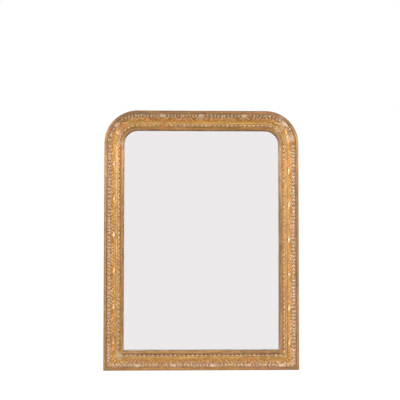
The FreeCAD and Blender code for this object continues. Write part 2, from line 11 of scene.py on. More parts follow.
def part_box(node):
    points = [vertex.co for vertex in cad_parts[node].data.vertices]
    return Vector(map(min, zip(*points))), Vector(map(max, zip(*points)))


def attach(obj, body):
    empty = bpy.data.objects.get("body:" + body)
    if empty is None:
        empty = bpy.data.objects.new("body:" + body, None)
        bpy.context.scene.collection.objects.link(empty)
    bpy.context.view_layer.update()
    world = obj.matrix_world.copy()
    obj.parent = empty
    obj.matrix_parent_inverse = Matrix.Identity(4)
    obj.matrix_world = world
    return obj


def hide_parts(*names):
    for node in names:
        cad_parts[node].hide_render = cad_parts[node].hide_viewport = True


bl_info = {
    "name": "Arched Gilt Mirror",
    "version": (1, 0, 0),
    "blender": (4, 5, 0),
    "location": "3D View > Sidebar > Mirror",
    "description": "Gilded mouldings, cast leaves, pearls and glass of an arched mirror",
    "category": "Add Mesh",
}

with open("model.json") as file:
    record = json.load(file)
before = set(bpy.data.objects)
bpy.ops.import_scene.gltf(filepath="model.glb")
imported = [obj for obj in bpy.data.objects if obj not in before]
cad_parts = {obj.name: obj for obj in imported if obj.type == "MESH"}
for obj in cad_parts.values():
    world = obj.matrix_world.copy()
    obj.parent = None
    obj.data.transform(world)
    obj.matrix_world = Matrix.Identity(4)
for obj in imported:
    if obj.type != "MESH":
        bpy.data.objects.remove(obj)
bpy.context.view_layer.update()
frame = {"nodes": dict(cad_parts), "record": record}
MM = 0.001

# The frame's outline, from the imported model
ARCH_LOW, ARCH_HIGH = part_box("arch_rail")
HALF_WIDTH = ARCH_HIGH.x
SPRING = ARCH_LOW.z
RADIUS = ARCH_HIGH.z - SPRING
ARCH_X = HALF_WIDTH - RADIUS
TOP_LENGTH = 2 * ARCH_X
CREST_TOP = -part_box("left_ornament")[0].y
PEARL_TOP = -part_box("left_bead_strip")[0].y
PEARL_FLOOR = -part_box("left_bead_strip")[1].y
BOARD_THICKNESS = -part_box("lower_back_board")[0].y
SIGHT_EDGE = HALF_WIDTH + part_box("left_stile")[1].x

# Widths of the bands across the moulding, and where they start, from the outer edge inwards
EDGE_RADIUS = 5.5 * MM
BAND = 8.6 * MM
GROOVE = 2.4 * MM
CREST_WIDTH = 12.4 * MM
COVE_WIDTH = 13.6 * MM
FILLET_WIDTH = 4 * MM
PEARL_BED_WIDTH = 8.4 * MM
STRIP_PLAY = 0.2 * MM
CAVETTO_WIDTH = 6.8 * MM
SIGHT_BAND_WIDTH = 3.8 * MM
GLASS_RABBET = 6.4 * MM
BOARD_STEP = 12 * MM
CREST = BAND + GROOVE
COVE = CREST + CREST_WIDTH
FILLET = COVE + COVE_WIDTH
PEARL_BED = FILLET + FILLET_WIDTH
CAVETTO = PEARL_BED + PEARL_BED_WIDTH
SIGHT_BAND = CAVETTO + CAVETTO_WIDTH
SIGHT_BEVEL = SIGHT_BAND + SIGHT_BAND_WIDTH
GLASS_WALL = SIGHT_EDGE - GLASS_RABBET
BOARD_WALL = GLASS_WALL - BOARD_STEP
BED_START = CREST + 1.6 * MM
BED_END = COVE - 2.9 * MM
CREST_LINE = CREST + CREST_WIDTH / 2
COVE_LINE = COVE + COVE_WIDTH / 2
PEARL_LINE = PEARL_BED + PEARL_BED_WIDTH / 2
ORNAMENT_LINE = COVE

# Heights above the wall
CREST_RISE = 3.5 * MM
COVE_HOLLOW = 2.3 * MM
SHOULDER = CREST_TOP - CREST_RISE
COVE_EDGE = SHOULDER - 10.1 * MM
GROOVE_FLOOR = SHOULDER - 5.7 * MM
BAND_TOP = GROOVE_FLOOR + 2.2 * MM
BED_TOP = SHOULDER - 2.5 * MM
BED_LOW = COVE_EDGE - 2.8 * MM
FILLET_TOP = PEARL_FLOOR + 4.2 * MM
CAVETTO_LOW = PEARL_FLOOR - 3.6 * MM
CAVETTO_HOLLOW = 1.1 * MM
SIGHT_TOP = CAVETTO_LOW + 1 * MM
LIP_FRONT = SIGHT_TOP - (SIGHT_EDGE - SIGHT_BEVEL)
LIP = SIGHT_TOP - 5.6 * MM
PEARL_FOOT = PEARL_FLOOR + 1.2 * MM
RELIEF_DROP = 2 * MM
RELIEF_EDGE = 0.5 * MM
EASING = 3 * MM
MERGE = 0.02 * MM
SILVER_GAP = 0.05 * MM

# Places between which a mask of the finish and of the painted light and shade on it rises or
# fades, in metres from the middle, up from the bottom or inwards from the outer edge
SIDE_START = (0.19, 0.25)
MITRE_EDGE = (0.005, 0.03)
LOWER_START = (0.1, 0.24)
# Where painted light on the sides rises towards the arch
UPPER_LIGHT = (0.46, 0.66)
CORNER_START = (0.66, 0.72)
CORNER_END = (0.725, 0.75)
# Where painted shade on the arch begins, measured up plus inwards
ARCH_SHADE = (0.72, 0.785)
PALE_END = (0.2, 0.34)
RIGHT_LIP = (0.19, 0.2)
SIDE_COVE = (0.26, 0.265)
# Where painted shade lies low in the cove on the right side
COVE_FOOT = (31 * MM, 34 * MM, 38 * MM, 40 * MM)

# Runs along the moulding, measured from the mitre of the left stile up, over and down to the
# other mitre. Round a corner they are measured on the line of the pearls or of the ornament.
MEMBERS = ("left", "arch", "right", "bottom")


def corner_length(line):
    """Length of a quarter turn along a line that lies this far inside the outer edge."""
    return math.pi / 2 * (RADIUS - line)


def member_run(member, line):
    """Start and length of a member's run along a line."""
    arch = 2 * corner_length(line) + TOP_LENGTH
    return {"left": (0, SPRING), "arch": (SPRING, arch), "right": (SPRING + arch, SPRING),
            "bottom": (0, 2 * HALF_WIDTH)}[member]


def length_setting(title, note, default):
    return FloatProperty(name=title, description=note, default=default, unit="LENGTH")


def angle_setting(title, note, degrees):
    return FloatProperty(name=title, description=note, default=math.radians(degrees),
                         subtype="ANGLE")


def level_setting(title, note, default):
    return FloatProperty(name=title, description=note, default=default, min=0)


def colour_setting(title, note, *default):
    return FloatVectorProperty(name=title, description=note, default=default, subtype="COLOR")


class MirrorOrnament(PropertyGroup):
    leaf_pitch: length_setting(
        "Leaf Pitch", "Distance between the small leaves of the crest", 10.2 * MM)
    stroke_pitch: length_setting(
        "Stroke Pitch", "Distance between the shallow strokes in the cove", 9 * MM)
    pearl_pitch: length_setting(
        "Pearl Pitch", "Distance between pearls along the sight edge", 13.4 * MM)
    pearl_length: length_setting(
        "Pearl Length", "Length of one pearl along the moulding", 10.2 * MM)
    pearl_width: length_setting(
        "Pearl Width", "Width of one pearl across the moulding", 7.8 * MM)
    corner_pad: length_setting(
        "Corner Pad", "Plain length of the pearl course beside a mitre", 5 * MM)


class MirrorFinish(PropertyGroup):
    ochre: colour_setting("Ochre", "Plain outer band", 0.46, 0.244, 0.088)
    silvered: colour_setting(
        "Rubbed Crest", "Gilding of the crest, rubbed down", 0.56, 0.355, 0.21)
    gold: colour_setting("Gold", "Gilding of the cove", 0.61, 0.31, 0.075)
    bright_gold: colour_setting("Bright Gold", "Gilding of the fillet", 0.6, 0.345, 0.125)
    shade_gold: colour_setting(
        "Shaded Gold", "Gilding of the hollow beside the pearls", 0.42, 0.218, 0.08)
    orange_gold: colour_setting(
        "Orange Gold", "Patches where the gold lies thick", 0.64, 0.27, 0.08)
    olive_gold: colour_setting(
        "Olive Gold", "Patches where the gold is thin and greenish", 0.5, 0.33, 0.09)
    bole: colour_setting(
        "Bole", "Red clay that shows where the gold is rubbed off", 0.44, 0.17, 0.1)
    # A painted highlight on the tops of the tall leaves in the cove
    leaf_highlight: colour_setting(
        "Leaf Highlight", "Bright gold on the tall leaves in the cove", 0.93, 0.6, 0.32)
    # A painted highlight that stands in for light falling on the wall beside the glass
    lip_highlight: colour_setting(
        "Sight Lip", "Painted highlight on the wall beside the glass", 0.95, 0.89, 0.75)
    gesso: colour_setting(
        "Gesso", "Whitish ground on the rubbed tops of the ornament", 0.72, 0.57, 0.44)
    # Dark dirt in streaks, stains and spots, and painted shade between the leaves and round the
    # pearls
    dirt_and_shade: colour_setting("Dirt and Shade", "Dark dirt, and painted shade in the recesses and round the pearls", 0.1, 0.055, 0.03)
    bare_wood: colour_setting("Bare Wood", "Aged softwood of the back", 0.38, 0.24, 0.125)
    brass: colour_setting("Brass", "Dulled brass of the hangers", 0.48, 0.33, 0.13)
    iron: colour_setting("Iron", "Dark iron of the brads", 0.06, 0.05, 0.045)


class MirrorStudio(PropertyGroup):
    distance: length_setting("Distance", "From the camera to the wall plane", 2.5)
    camera_x: length_setting("Camera X", "Place of the camera from left to right", -0.0802)
    camera_z: length_setting("Camera Height", "Height of the camera", 0.4329)
    turn: angle_setting("Turn", "How far the camera looks to the right", 1.739)
    tilt: angle_setting("Tilt", "How far the camera looks up", 2.053)
    roll: angle_setting("Roll", "How far the camera is rolled", 0.053)
    lens: level_setting("Lens", "Focal length in millimetres", 72.263)
    key_power: level_setting("Key Power", "Power of the large lamp at the front left", 50)
    fill_power: level_setting("Fill Power", "Power of the lamp at the front right", 42)
    back_power: level_setting("Back Power", "Power of each of the two lamps behind", 26)
    sky: level_setting("Sky", "Strength of the light from all round", 0.36)
    floor_white: level_setting(
        "Floor White", "Strength of the floor's own white in reflections", 0.898)
    seen_white: level_setting(
        "Reflected White", "White that the glass and the gilding reflect", 0.895)


def settings(kind):
    """One of the add-on's groups of settings."""
    return getattr(bpy.context.scene, kind)


def operation(name, reflected=False):
    """A method of Wire that adds a Math node, for a Python operator or its reflected form."""
    def method(self, other):
        values = (other, self) if reflected else (self, other)
        return self.bench.math(name, *values)
    return method


class Wire:
    """A socket in a node tree. Arithmetic on it adds Math nodes."""
    __add__, __radd__ = operation("ADD"), operation("ADD", True)
    __sub__, __rsub__ = operation("SUBTRACT"), operation("SUBTRACT", True)
    __mul__, __rmul__ = operation("MULTIPLY"), operation("MULTIPLY", True)
    __truediv__, __rtruediv__ = operation("DIVIDE"), operation("DIVIDE", True)

    def __init__(self, bench, socket):
        self.bench = bench
        self.socket = socket

    def __neg__(self):
        return 0 - self

    def output(self, name):
        """Another output of the same node."""
        return Wire(self.bench, self.bench.find(self.socket.node.outputs, name))

    def math(self, name, *values):
        """A Math node with this socket first."""
        return self.bench.math(name, self, *values)


class Bench:
    """Adds nodes to a tree."""

    def __init__(self, tree):
        self.tree = tree

    def find(self, sockets, key):
        """A socket by its place, or the one in use that has this name."""
        if isinstance(key, int):
            return sockets[key]
        return next(socket for socket in sockets if socket.name == key and socket.enabled)

    def fill(self, node, values):
        """Sets or links a node's inputs. A colour's three parts are set as an opaque colour."""
        for key, value in values.items():
            socket = self.find(node.inputs, key)
            for single in value if isinstance(value, list) else [value]:
                if isinstance(single, Wire):
                    self.tree.links.new(single.socket, socket)
                elif socket.type == "RGBA":
                    socket.default_value = (*single, 1)
                else:
                    socket.default_value = single

    def add(self, kind, options=None, values=None, output=0):
        """Adds a node, sets its options first, then its inputs, and gives one of its outputs."""
        node = self.tree.nodes.new(kind)
        for name, option in (options or {}).items():
            if name == "stops":
                while len(node.color_ramp.elements) < len(option):
                    node.color_ramp.elements.new(1)
                for stop, (place, colour) in zip(node.color_ramp.elements, option):
                    stop.position = place
                    stop.color = (*colour, 1)
            else:
                setattr(node, name, option)
        self.fill(node, values or {})
        return None if output is None else Wire(self, self.find(node.outputs, output))

    def math(self, name, *values):
        return self.add("ShaderNodeMath", {"operation": name}, dict(enumerate(values)))

    def vectors(self, name, first, second):
        return self.add("ShaderNodeVectorMath", {"operation": name}, {0: first, 1: second})

    def vector(self, x=0, y=0, z=0):
        return self.add("ShaderNodeCombineXYZ", None, {"X": x, "Y": y, "Z": z})

    def split(self, vector):
        """X of a vector. Y and Z are its node's other outputs."""
        return self.add("ShaderNodeSeparateXYZ", None, {"Vector": vector})

    def clamp(self, value, low, high):
        return self.math("MINIMUM", self.math("MAXIMUM", value, low), high)

    def ease(self, value, low, high):
        """0 below low, 1 above high and a smooth step between them."""
        return self.add(
            "ShaderNodeMapRange", {"interpolation_type": "SMOOTHSTEP"},
            {"Value": value, "From Min": low, "From Max": high, "To Min": 0, "To Max": 1})

    def fade(self, value, low, high):
        """1 below low, 0 above high and a smooth step between them."""
        return 1 - self.ease(value, low, high)

    def band(self, value, low, start, end, high):
        """1 from start to end, with a smooth step on both sides."""
        return self.ease(value, low, start) * self.fade(value, end, high)

    def blend(self, first, second, share, mode="MIX"):
        """Two colours mixed."""
        return self.add(
            "ShaderNodeMix", {"data_type": "RGBA", "blend_type": mode},
            {"Factor": share, "A": first, "B": second}, output="Result")

    def tinted(self, colour, red, green, blue):
        """A colour times a level for each of its parts."""
        return self.blend(colour, self.vector(red, green, blue), 1, "MULTIPLY")

    def noise(self, place, size, seed, detail=3, rough=0.5):
        """Noise with blotches of about this size in metres."""
        moved = self.vectors("ADD", place, (seed * 0.37, seed * 0.53, seed * 0.71))
        return self.add("ShaderNodeTexNoise", None,
                        {"Vector": moved, "Scale": 1 / size, "Detail": detail, "Roughness": rough})


# Shapes are laid out flat first: x runs along the moulding, y inwards and z out from the wall.
# The bend then carries them round the frame.
RUN_INPUTS = (
    ("Geometry", "Geometry", "What is laid out flat"),
    ("Line", "Float", "Distance inwards of the line on which runs are measured"),
    ("Bottom", "Bool", "Lay the piece along the bottom rail"),
)


def new_tree(name, *extra):
    """A Geometry Nodes tree with the inputs that every run of moulding needs, and its own."""
    tree = bpy.data.node_groups.new(name, "GeometryNodeTree")
    for title, kind, note in (*RUN_INPUTS, *extra):
        socket = tree.interface.new_socket(
            title, in_out="INPUT", socket_type=f"NodeSocket{kind}")
        socket.description = note
    tree.interface.new_socket("Geometry", in_out="OUTPUT", socket_type="NodeSocketGeometry")
    bench = Bench(tree)
    return tree, bench, bench.add("NodeGroupInput")


def bend_tree():
    """A node group that carries a flat layout round the frame, mitred where it is square."""
    tree, bench, given = new_tree("Bend Round Frame")
    where = bench.add("GeometryNodeInputPosition")
    run = bench.split(where)
    inwards, out = run.output("Y"), run.output("Z")

    quarter = (RADIUS - given.output("Line")) * (math.pi / 2)
    first = SPRING + quarter
    second = first + TOP_LENGTH
    third = second + quarter
    mitred = bench.clamp(run, inwards, third + SPRING - inwards)
    left_turn = bench.clamp((mitred - SPRING) / quarter, 0, 1) * (math.pi / 2)
    right_turn = bench.clamp((mitred - second) / quarter, 0, 1) * (math.pi / 2)
    up = mitred.math("MINIMUM", SPRING)
    along = bench.clamp(mitred - first, 0, TOP_LENGTH)
    down = bench.math("MAXIMUM", mitred - third, 0)
    radius = RADIUS - inwards
    x = along + right_turn.math("SINE") * radius - left_turn.math("COSINE") * radius - ARCH_X
    z = up + left_turn.math("SINE") * radius - (1 - right_turn.math("COSINE")) * radius - down
    over = bench.vector(x, -out, z)
    low = bench.clamp(run, inwards, 2 * HALF_WIDTH - inwards)
    below = bench.vector(HALF_WIDTH - low, -out, inwards)
    place = bench.add("GeometryNodeSwitch", {"input_type": "VECTOR"},
                      {"Switch": given.output("Bottom"), "False": over, "True": below})

    # The square corners at the bottom are eased
    across = bench.split(place)
    past = bench.math("MAXIMUM", across.math("ABSOLUTE") - (HALF_WIDTH - EASING), 0)
    under = bench.math("MAXIMUM", EASING - across.output("Z"), 0)
    reach = bench.math("MAXIMUM", (past * past + under * under).math("SQRT"), EASING)
    cut = 1 - EASING / reach
    shift = bench.vector(-(across.math("SIGN") * past * cut), 0, under * cut)
    kept = bench.add("GeometryNodeStoreNamedAttribute", {"data_type": "FLOAT_VECTOR"},
                     {"Geometry": given, "Name": "lay", "Value": where})
    bent = bench.add("GeometryNodeSetPosition", None,
                     {"Geometry": kept, "Position": bench.vectors("ADD", place, shift)})
    merged = bench.add("GeometryNodeMergeByDistance", None, {"Geometry": bent, "Distance": MERGE})
    turned = bench.add("GeometryNodeFlipFaces", None, {"Mesh": merged})
    bench.add("NodeGroupOutput", None, {"Geometry": turned}, output=None)
    return tree


def crest_height(inwards):
    """Height of the ground of the crest above the wall."""
    off = (inwards - CREST_LINE) * (2 / CREST_WIDTH)
    return SHOULDER - RELIEF_DROP + CREST_RISE * (1 - off * off)


def cove_height(share):
    """Height of the ground of the cove, with share 0 at the crest and 1 at the fillet."""
    back = 1 - share
    middle = 2 * share - 1
    line = SHOULDER - RELIEF_EDGE + share * (COVE_EDGE - SHOULDER)
    return line - COVE_HOLLOW * (1 - middle * middle) - (RELIEF_DROP - RELIEF_EDGE) * back * back


def realized(bench, geometry):
    return bench.add("GeometryNodeRealizeInstances", None, {"Geometry": geometry})


def copies(bench, points, thing, angle, scale):
    """Copies of an object on points, each turned about its height."""
    shape = bench.add("GeometryNodeObjectInfo", None, {"Object": thing}, output="Geometry")
    turn = bench.add("FunctionNodeEulerToRotation", None, {"Euler": bench.vector(0, 0, angle)})
    return realized(bench, bench.add(
        "GeometryNodeInstanceOnPoints", None,
        {"Points": points, "Instance": shape, "Rotation": turn, "Scale": scale}))


def bent_output(bench, given, bend, material, *geometry):
    """Joins and bends a finished layout, gives it its material and ends the tree."""
    if len(geometry) > 1:
        geometry = [bench.add("GeometryNodeJoinGeometry", None, {"Geometry": list(geometry)})]
    round_frame = bench.add("GeometryNodeGroup", {"node_tree": bend},
                            {"Geometry": geometry[0], "Line": given.output("Line"),
                             "Bottom": given.output("Bottom")})
    coated = bench.add("GeometryNodeSetMaterial", None,
                       {"Geometry": realized(bench, round_frame), "Material": material})
    bench.add("NodeGroupOutput", None, {"Geometry": coated}, output=None)


def moulding_tree(bend, material):
    """Bends a plain length of moulding."""
    tree, bench, given = new_tree("Moulding")
    bent_output(bench, given, bend, material, given)
    return tree


def pearl_tree(bend, material, pearl):
    """Sets a course of pearls on its strip and bends both."""
    tree, bench, given = new_tree(
        "Pearl Course", ("Count", "Int", "Number of pearls"),
        ("Start", "Float", "Run of the first pearl"), ("Pitch", "Float", "From pearl to pearl"))
    line = bench.add(
        "GeometryNodeMeshLine", {"mode": "OFFSET"},
        {"Count": given.output("Count"),
         "Start Location": bench.vector(given.output("Start"), PEARL_LINE, PEARL_FLOOR),
         "Offset": bench.vector(given.output("Pitch"))})
    number = bench.add("GeometryNodeInputIndex")
    lean, worn = (
        bench.add("FunctionNodeRandomValue", {"data_type": "FLOAT"},
                  {"Min": low, "Max": high, "ID": number, "Seed": seed}, output="Value")
        for low, high, seed in ((-0.12, 0.12, 3), (0.86, 1, 5)))
    row = copies(bench, line, pearl, lean, bench.vector(worn, worn, worn))
    bent_output(bench, given, bend, material, given, row)
    return tree


def relief_tree(bend, material, leaf):
    """Sets leaves on the points of a layout, drapes them over the ground of the ornament and
    bends everything."""
    tree, bench, given = new_tree(
        "Cast Ornament", ("Layout", "Object", "Points that carry the leaves"))
    spots = bench.add("GeometryNodeObjectInfo", None, {"Object": given.output("Layout")},
                      output="Geometry")
    turn, size = (
        bench.add("GeometryNodeInputNamedAttribute", {"data_type": form}, {"Name": name},
                  output="Attribute")
        for name, form in (("turn", "FLOAT"), ("size", "FLOAT_VECTOR")))
    leaves = copies(bench, spots, leaf, turn, size)
    run = bench.split(bench.add("GeometryNodeInputPosition"))
    inwards = bench.math("MAXIMUM", run.output("Y"), CREST)
    stored = bench.add(
        "GeometryNodeStoreNamedAttribute", {"data_type": "FLOAT"},
        {"Geometry": leaves, "Name": "relief", "Value": run.output("Z")})
    share = bench.clamp((inwards - COVE) / COVE_WIDTH, 0, 1)
    in_cove = bench.math("GREATER_THAN", inwards, COVE)
    crest = crest_height(inwards)
    ground = crest + in_cove * (cove_height(share) - crest)
    height = bench.math("MINIMUM", ground + run.output("Z"), CREST_TOP - MERGE)
    draped = bench.add("GeometryNodeSetPosition", None,
                       {"Geometry": stored, "Position": bench.vector(run, inwards, height)})
    bent_output(bench, given, bend, material, given, draped)
    return tree


def in_scene(name, data):
    """A new object in the scene."""
    thing = bpy.data.objects.new(name, data)
    bpy.context.scene.collection.objects.link(thing)
    return thing


def mesh_object(name, points, faces):
    """A mesh in the scene with its faces turned outwards."""
    mesh = bpy.data.meshes.new(name)
    mesh.from_pydata([tuple(point) for point in points], [], faces)
    work = bmesh.new()
    work.from_mesh(mesh)
    bmesh.ops.recalc_face_normals(work, faces=work.faces)
    work.to_mesh(mesh)
    work.free()
    return in_scene(name, mesh)


def swept(rings):
    """Points and faces of a closed body through rings with the same number of points."""
    size = len(rings[0])
    points = [point for ring in rings for point in ring]
    faces = []
    for row in range(0, len(points) - size, size):
        for spot in range(size):
            after = (spot + 1) % size
            faces.append((row + spot, row + after, row + size + after, row + size + spot))
    faces.append(tuple(range(size)))
    faces.append(tuple(range(len(points) - size, len(points))))
    return points, faces


def softened(section, size, sharp):
    """A closed outline with the corners that turn by more than an angle eased by two flats."""
    outline = []
    for spot, here in enumerate(section):
        corner = Vector(here)
        before = Vector(section[spot - 1]) - corner
        after = Vector(section[(spot + 1) % len(section)]) - corner
        if math.pi - before.angle(after) < sharp:
            outline.append(here)
            continue
        reach = min(size, before.length * 0.4, after.length * 0.4)
        first = corner + before.normalized() * reach
        last = corner + after.normalized() * reach
        outline += [tuple(first), tuple(first * 0.25 + corner * 0.5 + last * 0.25), tuple(last)]
    return outline


def arc_steps(centre, radius, start, end, steps):
    """Points on an arc from one angle to another."""
    angles = (start + (end - start) * step / steps for step in range(steps + 1))
    return [(centre[0] + radius * math.cos(a), centre[1] + radius * math.sin(a)) for a in angles]


def wood_section():
    """Outline of the wooden moulding as (inwards, height) points."""
    edge = arc_steps((EDGE_RADIUS, BAND_TOP - EDGE_RADIUS), EDGE_RADIUS, math.pi, math.pi / 2, 7)
    hollow = []
    for step in range(7):
        share = step / 6
        middle = 2 * share - 1
        height = PEARL_FLOOR + share * (CAVETTO_LOW - PEARL_FLOOR)
        hollow.append((CAVETTO + share * CAVETTO_WIDTH,
                       height - CAVETTO_HOLLOW * (1 - middle * middle)))
    section = [(0, 0), *edge, (BAND, BAND_TOP), (BAND, GROOVE_FLOOR), (CREST, GROOVE_FLOOR),
               (BED_START, BED_TOP), (BED_END, BED_TOP), (FILLET, BED_LOW),
               (FILLET, FILLET_TOP), (PEARL_BED, FILLET_TOP), (PEARL_BED, PEARL_FLOOR), *hollow,
               (SIGHT_BAND, SIGHT_TOP), (SIGHT_BEVEL, SIGHT_TOP), (SIGHT_EDGE, LIP_FRONT),
               (SIGHT_EDGE, LIP), (GLASS_WALL, LIP), (GLASS_WALL, BOARD_THICKNESS),
               (BOARD_WALL, BOARD_THICKNESS), (BOARD_WALL, 0)]
    return softened(section, 0.5 * MM, math.radians(24))


def ornament_section():
    """Outline of the ground of the cast ornament."""
    shares = [step / 8 for step in range(9)]
    crest = [(CREST + CREST_WIDTH * share, crest_height(CREST + CREST_WIDTH * share))
             for share in shares]
    cove = [(COVE + COVE_WIDTH * share, cove_height(share)) for share in shares[1:]]
    return [(CREST, GROOVE_FLOOR), *crest, *cove, (FILLET, BED_LOW), (BED_END, BED_TOP),
            (BED_START, BED_TOP)]


def strip_section():
    """Outline of the strip under the pearls."""
    outer, inner = PEARL_BED + STRIP_PLAY, CAVETTO - STRIP_PLAY
    return [(outer, PEARL_FLOOR), (outer, PEARL_FOOT), (PEARL_LINE, PEARL_FOOT + 0.4 * MM),
            (inner, PEARL_FOOT), (inner, PEARL_FLOOR)]


def run_stations(member, line):
    """Places along a member's run where its blank has a ring of points."""
    start, length = member_run(member, line)
    if member == "arch":
        steps = 36
        quarter = corner_length(line)
        return [turn + quarter * step / steps
                for turn in (start, start + quarter + TOP_LENGTH) for step in range(steps + 1)]
    near = [EASING * step / 3 for step in range(3)]
    low = near if member != "right" else [0]
    high = near[::-1] if member != "left" else [0]
    return [start + off for off in low] + [start + length - off for off in high]


def blank(member, section, line):
    """A straight length of moulding for a member, before it is bent."""
    rings = [[(run, u, v) for u, v in section] for run in run_stations(member, line)]
    return mesh_object(f"{member}_blank", *swept(rings))


def modelled(thing, tree, name, **inputs):
    """The mesh that a Geometry Nodes tree makes from an object, as a new object."""
    modifier = thing.modifiers.new("Made", "NODES")
    modifier.node_group = tree
    for item in tree.interface.items_tree:
        key = item.name.lower()
        if item.in_out == "INPUT" and key in inputs:
            modifier[item.identifier] = inputs[key]
    bpy.context.view_layer.update()
    graph = bpy.context.evaluated_depsgraph_get()
    mesh = bpy.data.meshes.new_from_object(
        thing.evaluated_get(graph), preserve_all_data_layers=True, depsgraph=graph)
    if not mesh.polygons:
        raise RuntimeError(f"{name} came out empty")
    thing.modifiers.remove(modifier)
    bpy.data.objects.remove(thing)
    return in_scene(name, mesh)


# The cross section of a leaf, as shares of its half width and height, and places along it with
# their half width and height
LEAF_SECTION = ((-1, -0.3), (-1, 0), (-0.6, 0.9), (-0.16, 0.66), (0.16, 0.66), (0.6, 0.9),
                (1, 0), (1, -0.3))
LEAF_ROWS = ((0, 0.1, 0.5), (0.14, 0.36, 0.85), (0.34, 0.5, 1), (0.58, 0.42, 0.95),
             (0.8, 0.24, 0.75), (1, 0.03, 0.3))


def leaf_shape():
    """A pointed leaf with a sunk vein, one long, wide and high before it is scaled."""
    path = [Vector((x - 0.5, 0.06 * math.sin(math.pi * x))) for x, _, _ in LEAF_ROWS]
    rings = []
    for spot, (_, width, height) in enumerate(LEAF_ROWS):
        along = (path[min(spot + 1, len(path) - 1)] - path[max(spot - 1, 0)]).normalized()
        across = Vector((-along.y, along.x))
        ring = []
        for side, up in LEAF_SECTION:
            place = path[spot] + across * side * width
            ring.append((place.x, place.y, up * height))
        rings.append(ring)
    return swept(rings)


def drop_shape(sides, rings):
    """A rounded drop, one long and one wide, one high."""
    rows = []
    for row in range(rings):
        angle = math.pi / 2 * row / rings
        wide, up = 0.5 * math.cos(angle), math.sin(angle)
        rows.append([(wide * math.cos(2 * math.pi * side / sides),
                      wide * math.sin(2 * math.pi * side / sides), up) for side in range(sides)])
    return swept([[(x, y, -0.3) for x, y, _ in rows[0]], *rows])


CREST_MID = CREST_LINE / MM
COVE_MID = COVE_LINE / MM


class Layout:
    """Places of the cast leaves on a member, in millimetres along and across it."""

    def __init__(self, seed, leaf_pitch, stroke_pitch):
        self.rows = []
        self.leaf_pitch = leaf_pitch
        self.stroke_pitch = stroke_pitch
        self.chance = random.Random(seed)

    def leaf(self, run, inwards, turn, length, width, height):
        """A leaf of this size at a place, turned by degrees, all a little by chance."""
        loose = self.chance.uniform
        self.rows.append((
            run + loose(-0.35, 0.35), inwards + loose(-0.2, 0.2),
            math.radians(turn + loose(-6, 6)),
            length * loose(0.92, 1.08), width * loose(0.92, 1.08), height * loose(0.85, 1.1)))

    def object(self, name):
        """The places as points with their turn and size."""
        mesh = bpy.data.meshes.new(name)
        mesh.from_pydata([(run * MM, inwards * MM, 0) for run, inwards, *_ in self.rows], [], [])
        for title, form, field, values in (
                ("turn", "FLOAT", "value", [row[2] for row in self.rows]),
                ("size", "FLOAT_VECTOR", "vector",
                 [size * MM for row in self.rows for size in row[3:]])):
            mesh.attributes.new(title, form, "POINT").data.foreach_set(field, values)
        return in_scene(name, mesh)

    def garland(self, start, end, way):
        """Paired leaves along the crest, with small round ones between them."""
        count = max(1, round((end - start) / self.leaf_pitch))
        step = (end - start) / count
        for number in range(count):
            run = start + (number + 0.5) * step
            for side in (-1, 1):
                self.leaf(run, CREST_MID + side * 3.1, way * side * 42 + (way < 0) * 180,
                          10.6, 4.8, 2)
                self.leaf(run - way * 3, CREST_MID + side * 5.2, 0, 4.4, 2.8, 1.5)
            if number % 3 == 1:
                self.leaf(run - way * 4.4, CREST_MID + 0.2, 90 * way, 6, 5.6, 1.9)
            else:
                self.leaf(run - way * 4.2, CREST_MID, 0, 4, 3.6, 1.9)

    def spray(self, centre, half):
        """Leaves that sweep from the crest into the cove, away from a centre, on both sides."""
        for way in (-1, 1):
            for number in range(max(2, int((half - 12) / self.stroke_pitch))):
                run = centre + way * (6 + number * self.stroke_pitch)
                lean = 42 + (10 if number % 2 else -7)
                length = (17 if number % 2 else 20) - 0.6 * number
                self.leaf(run + way * 4, COVE_MID - 2.5, lean if way > 0 else 180 - lean,
                          length, 4.1, 2.7)
            self.leaf(centre + way * 3, COVE_MID - 2.4, 90 - way * 24, 9, 4.4, 1.8)

    def stretch(self, low, middle, high, least, inset):
        """Garlands away from a middle, over a spray where the stretch is long enough."""
        self.garland(low, middle, -1)
        self.garland(middle, high, 1)
        if high - low > least:
            self.spray(middle, (high - low) / 2 - inset)

    def boss(self, run):
        """A tall broad leaf in the cove between two sprays, with a small one on each side."""
        self.leaf(run, COVE_MID - 0.6, 0, 13.5, 11.5, 4.4)
        for way in (-1, 1):
            self.leaf(run + way * 8.5, COVE_MID + 0.6, 90 - way * 90, 8, 4.2, 2)

    def fan(self, run, size=1):
        """A broad leaf on the crest, with leaves that open over the cove on both sides."""
        self.leaf(run, CREST_MID - 2.5, 0, 20 * size, 20 * size, 2.6)
        for way in (-1, 1):
            self.leaf(run + way * 9.5 * size, CREST_MID - 1, 90 - way * 60, 6.6, 6, 2)
            self.leaf(run + way * 11 * size, COVE_MID - 6, 90 - way * 48, 17, 5.4, 2.6)
            self.leaf(run + way * 5, COVE_MID - 1, 90 - way * 20, 10, 4.4, 2)

    def corner(self, run):
        """Long leaves that fan out over a rounded corner."""
        self.fan(run, 1.25)
        for way in (-1, 1):
            for number in range(3):
                self.leaf(run + way * (11 + 7 * number), COVE_MID - 3 + number,
                          90 - way * (50 + 8 * number), 15, 5, 2.2)


def arch_layout(layout, start, end):
    """Fans of leaves along the top and over the rounded corners, joined by garlands."""
    fan_reach = 11
    quarter = corner_length(ORNAMENT_LINE) / MM
    fans = [start + quarter + ARCH_X / MM + x for x in (-119, 0, 133)]
    corners = [start + quarter / 2, end - quarter / 2]
    for stop in fans:
        layout.fan(stop)
    for stop in corners:
        layout.corner(stop)
    stops = sorted(fans + corners)
    edges = [start + 2, *stops, end - 2]
    for low, high in zip(edges, edges[1:]):
        low += fan_reach if low in stops else 0
        high -= fan_reach if high in stops else 0
        layout.stretch(low, (low + high) / 2, high, 70, 4)


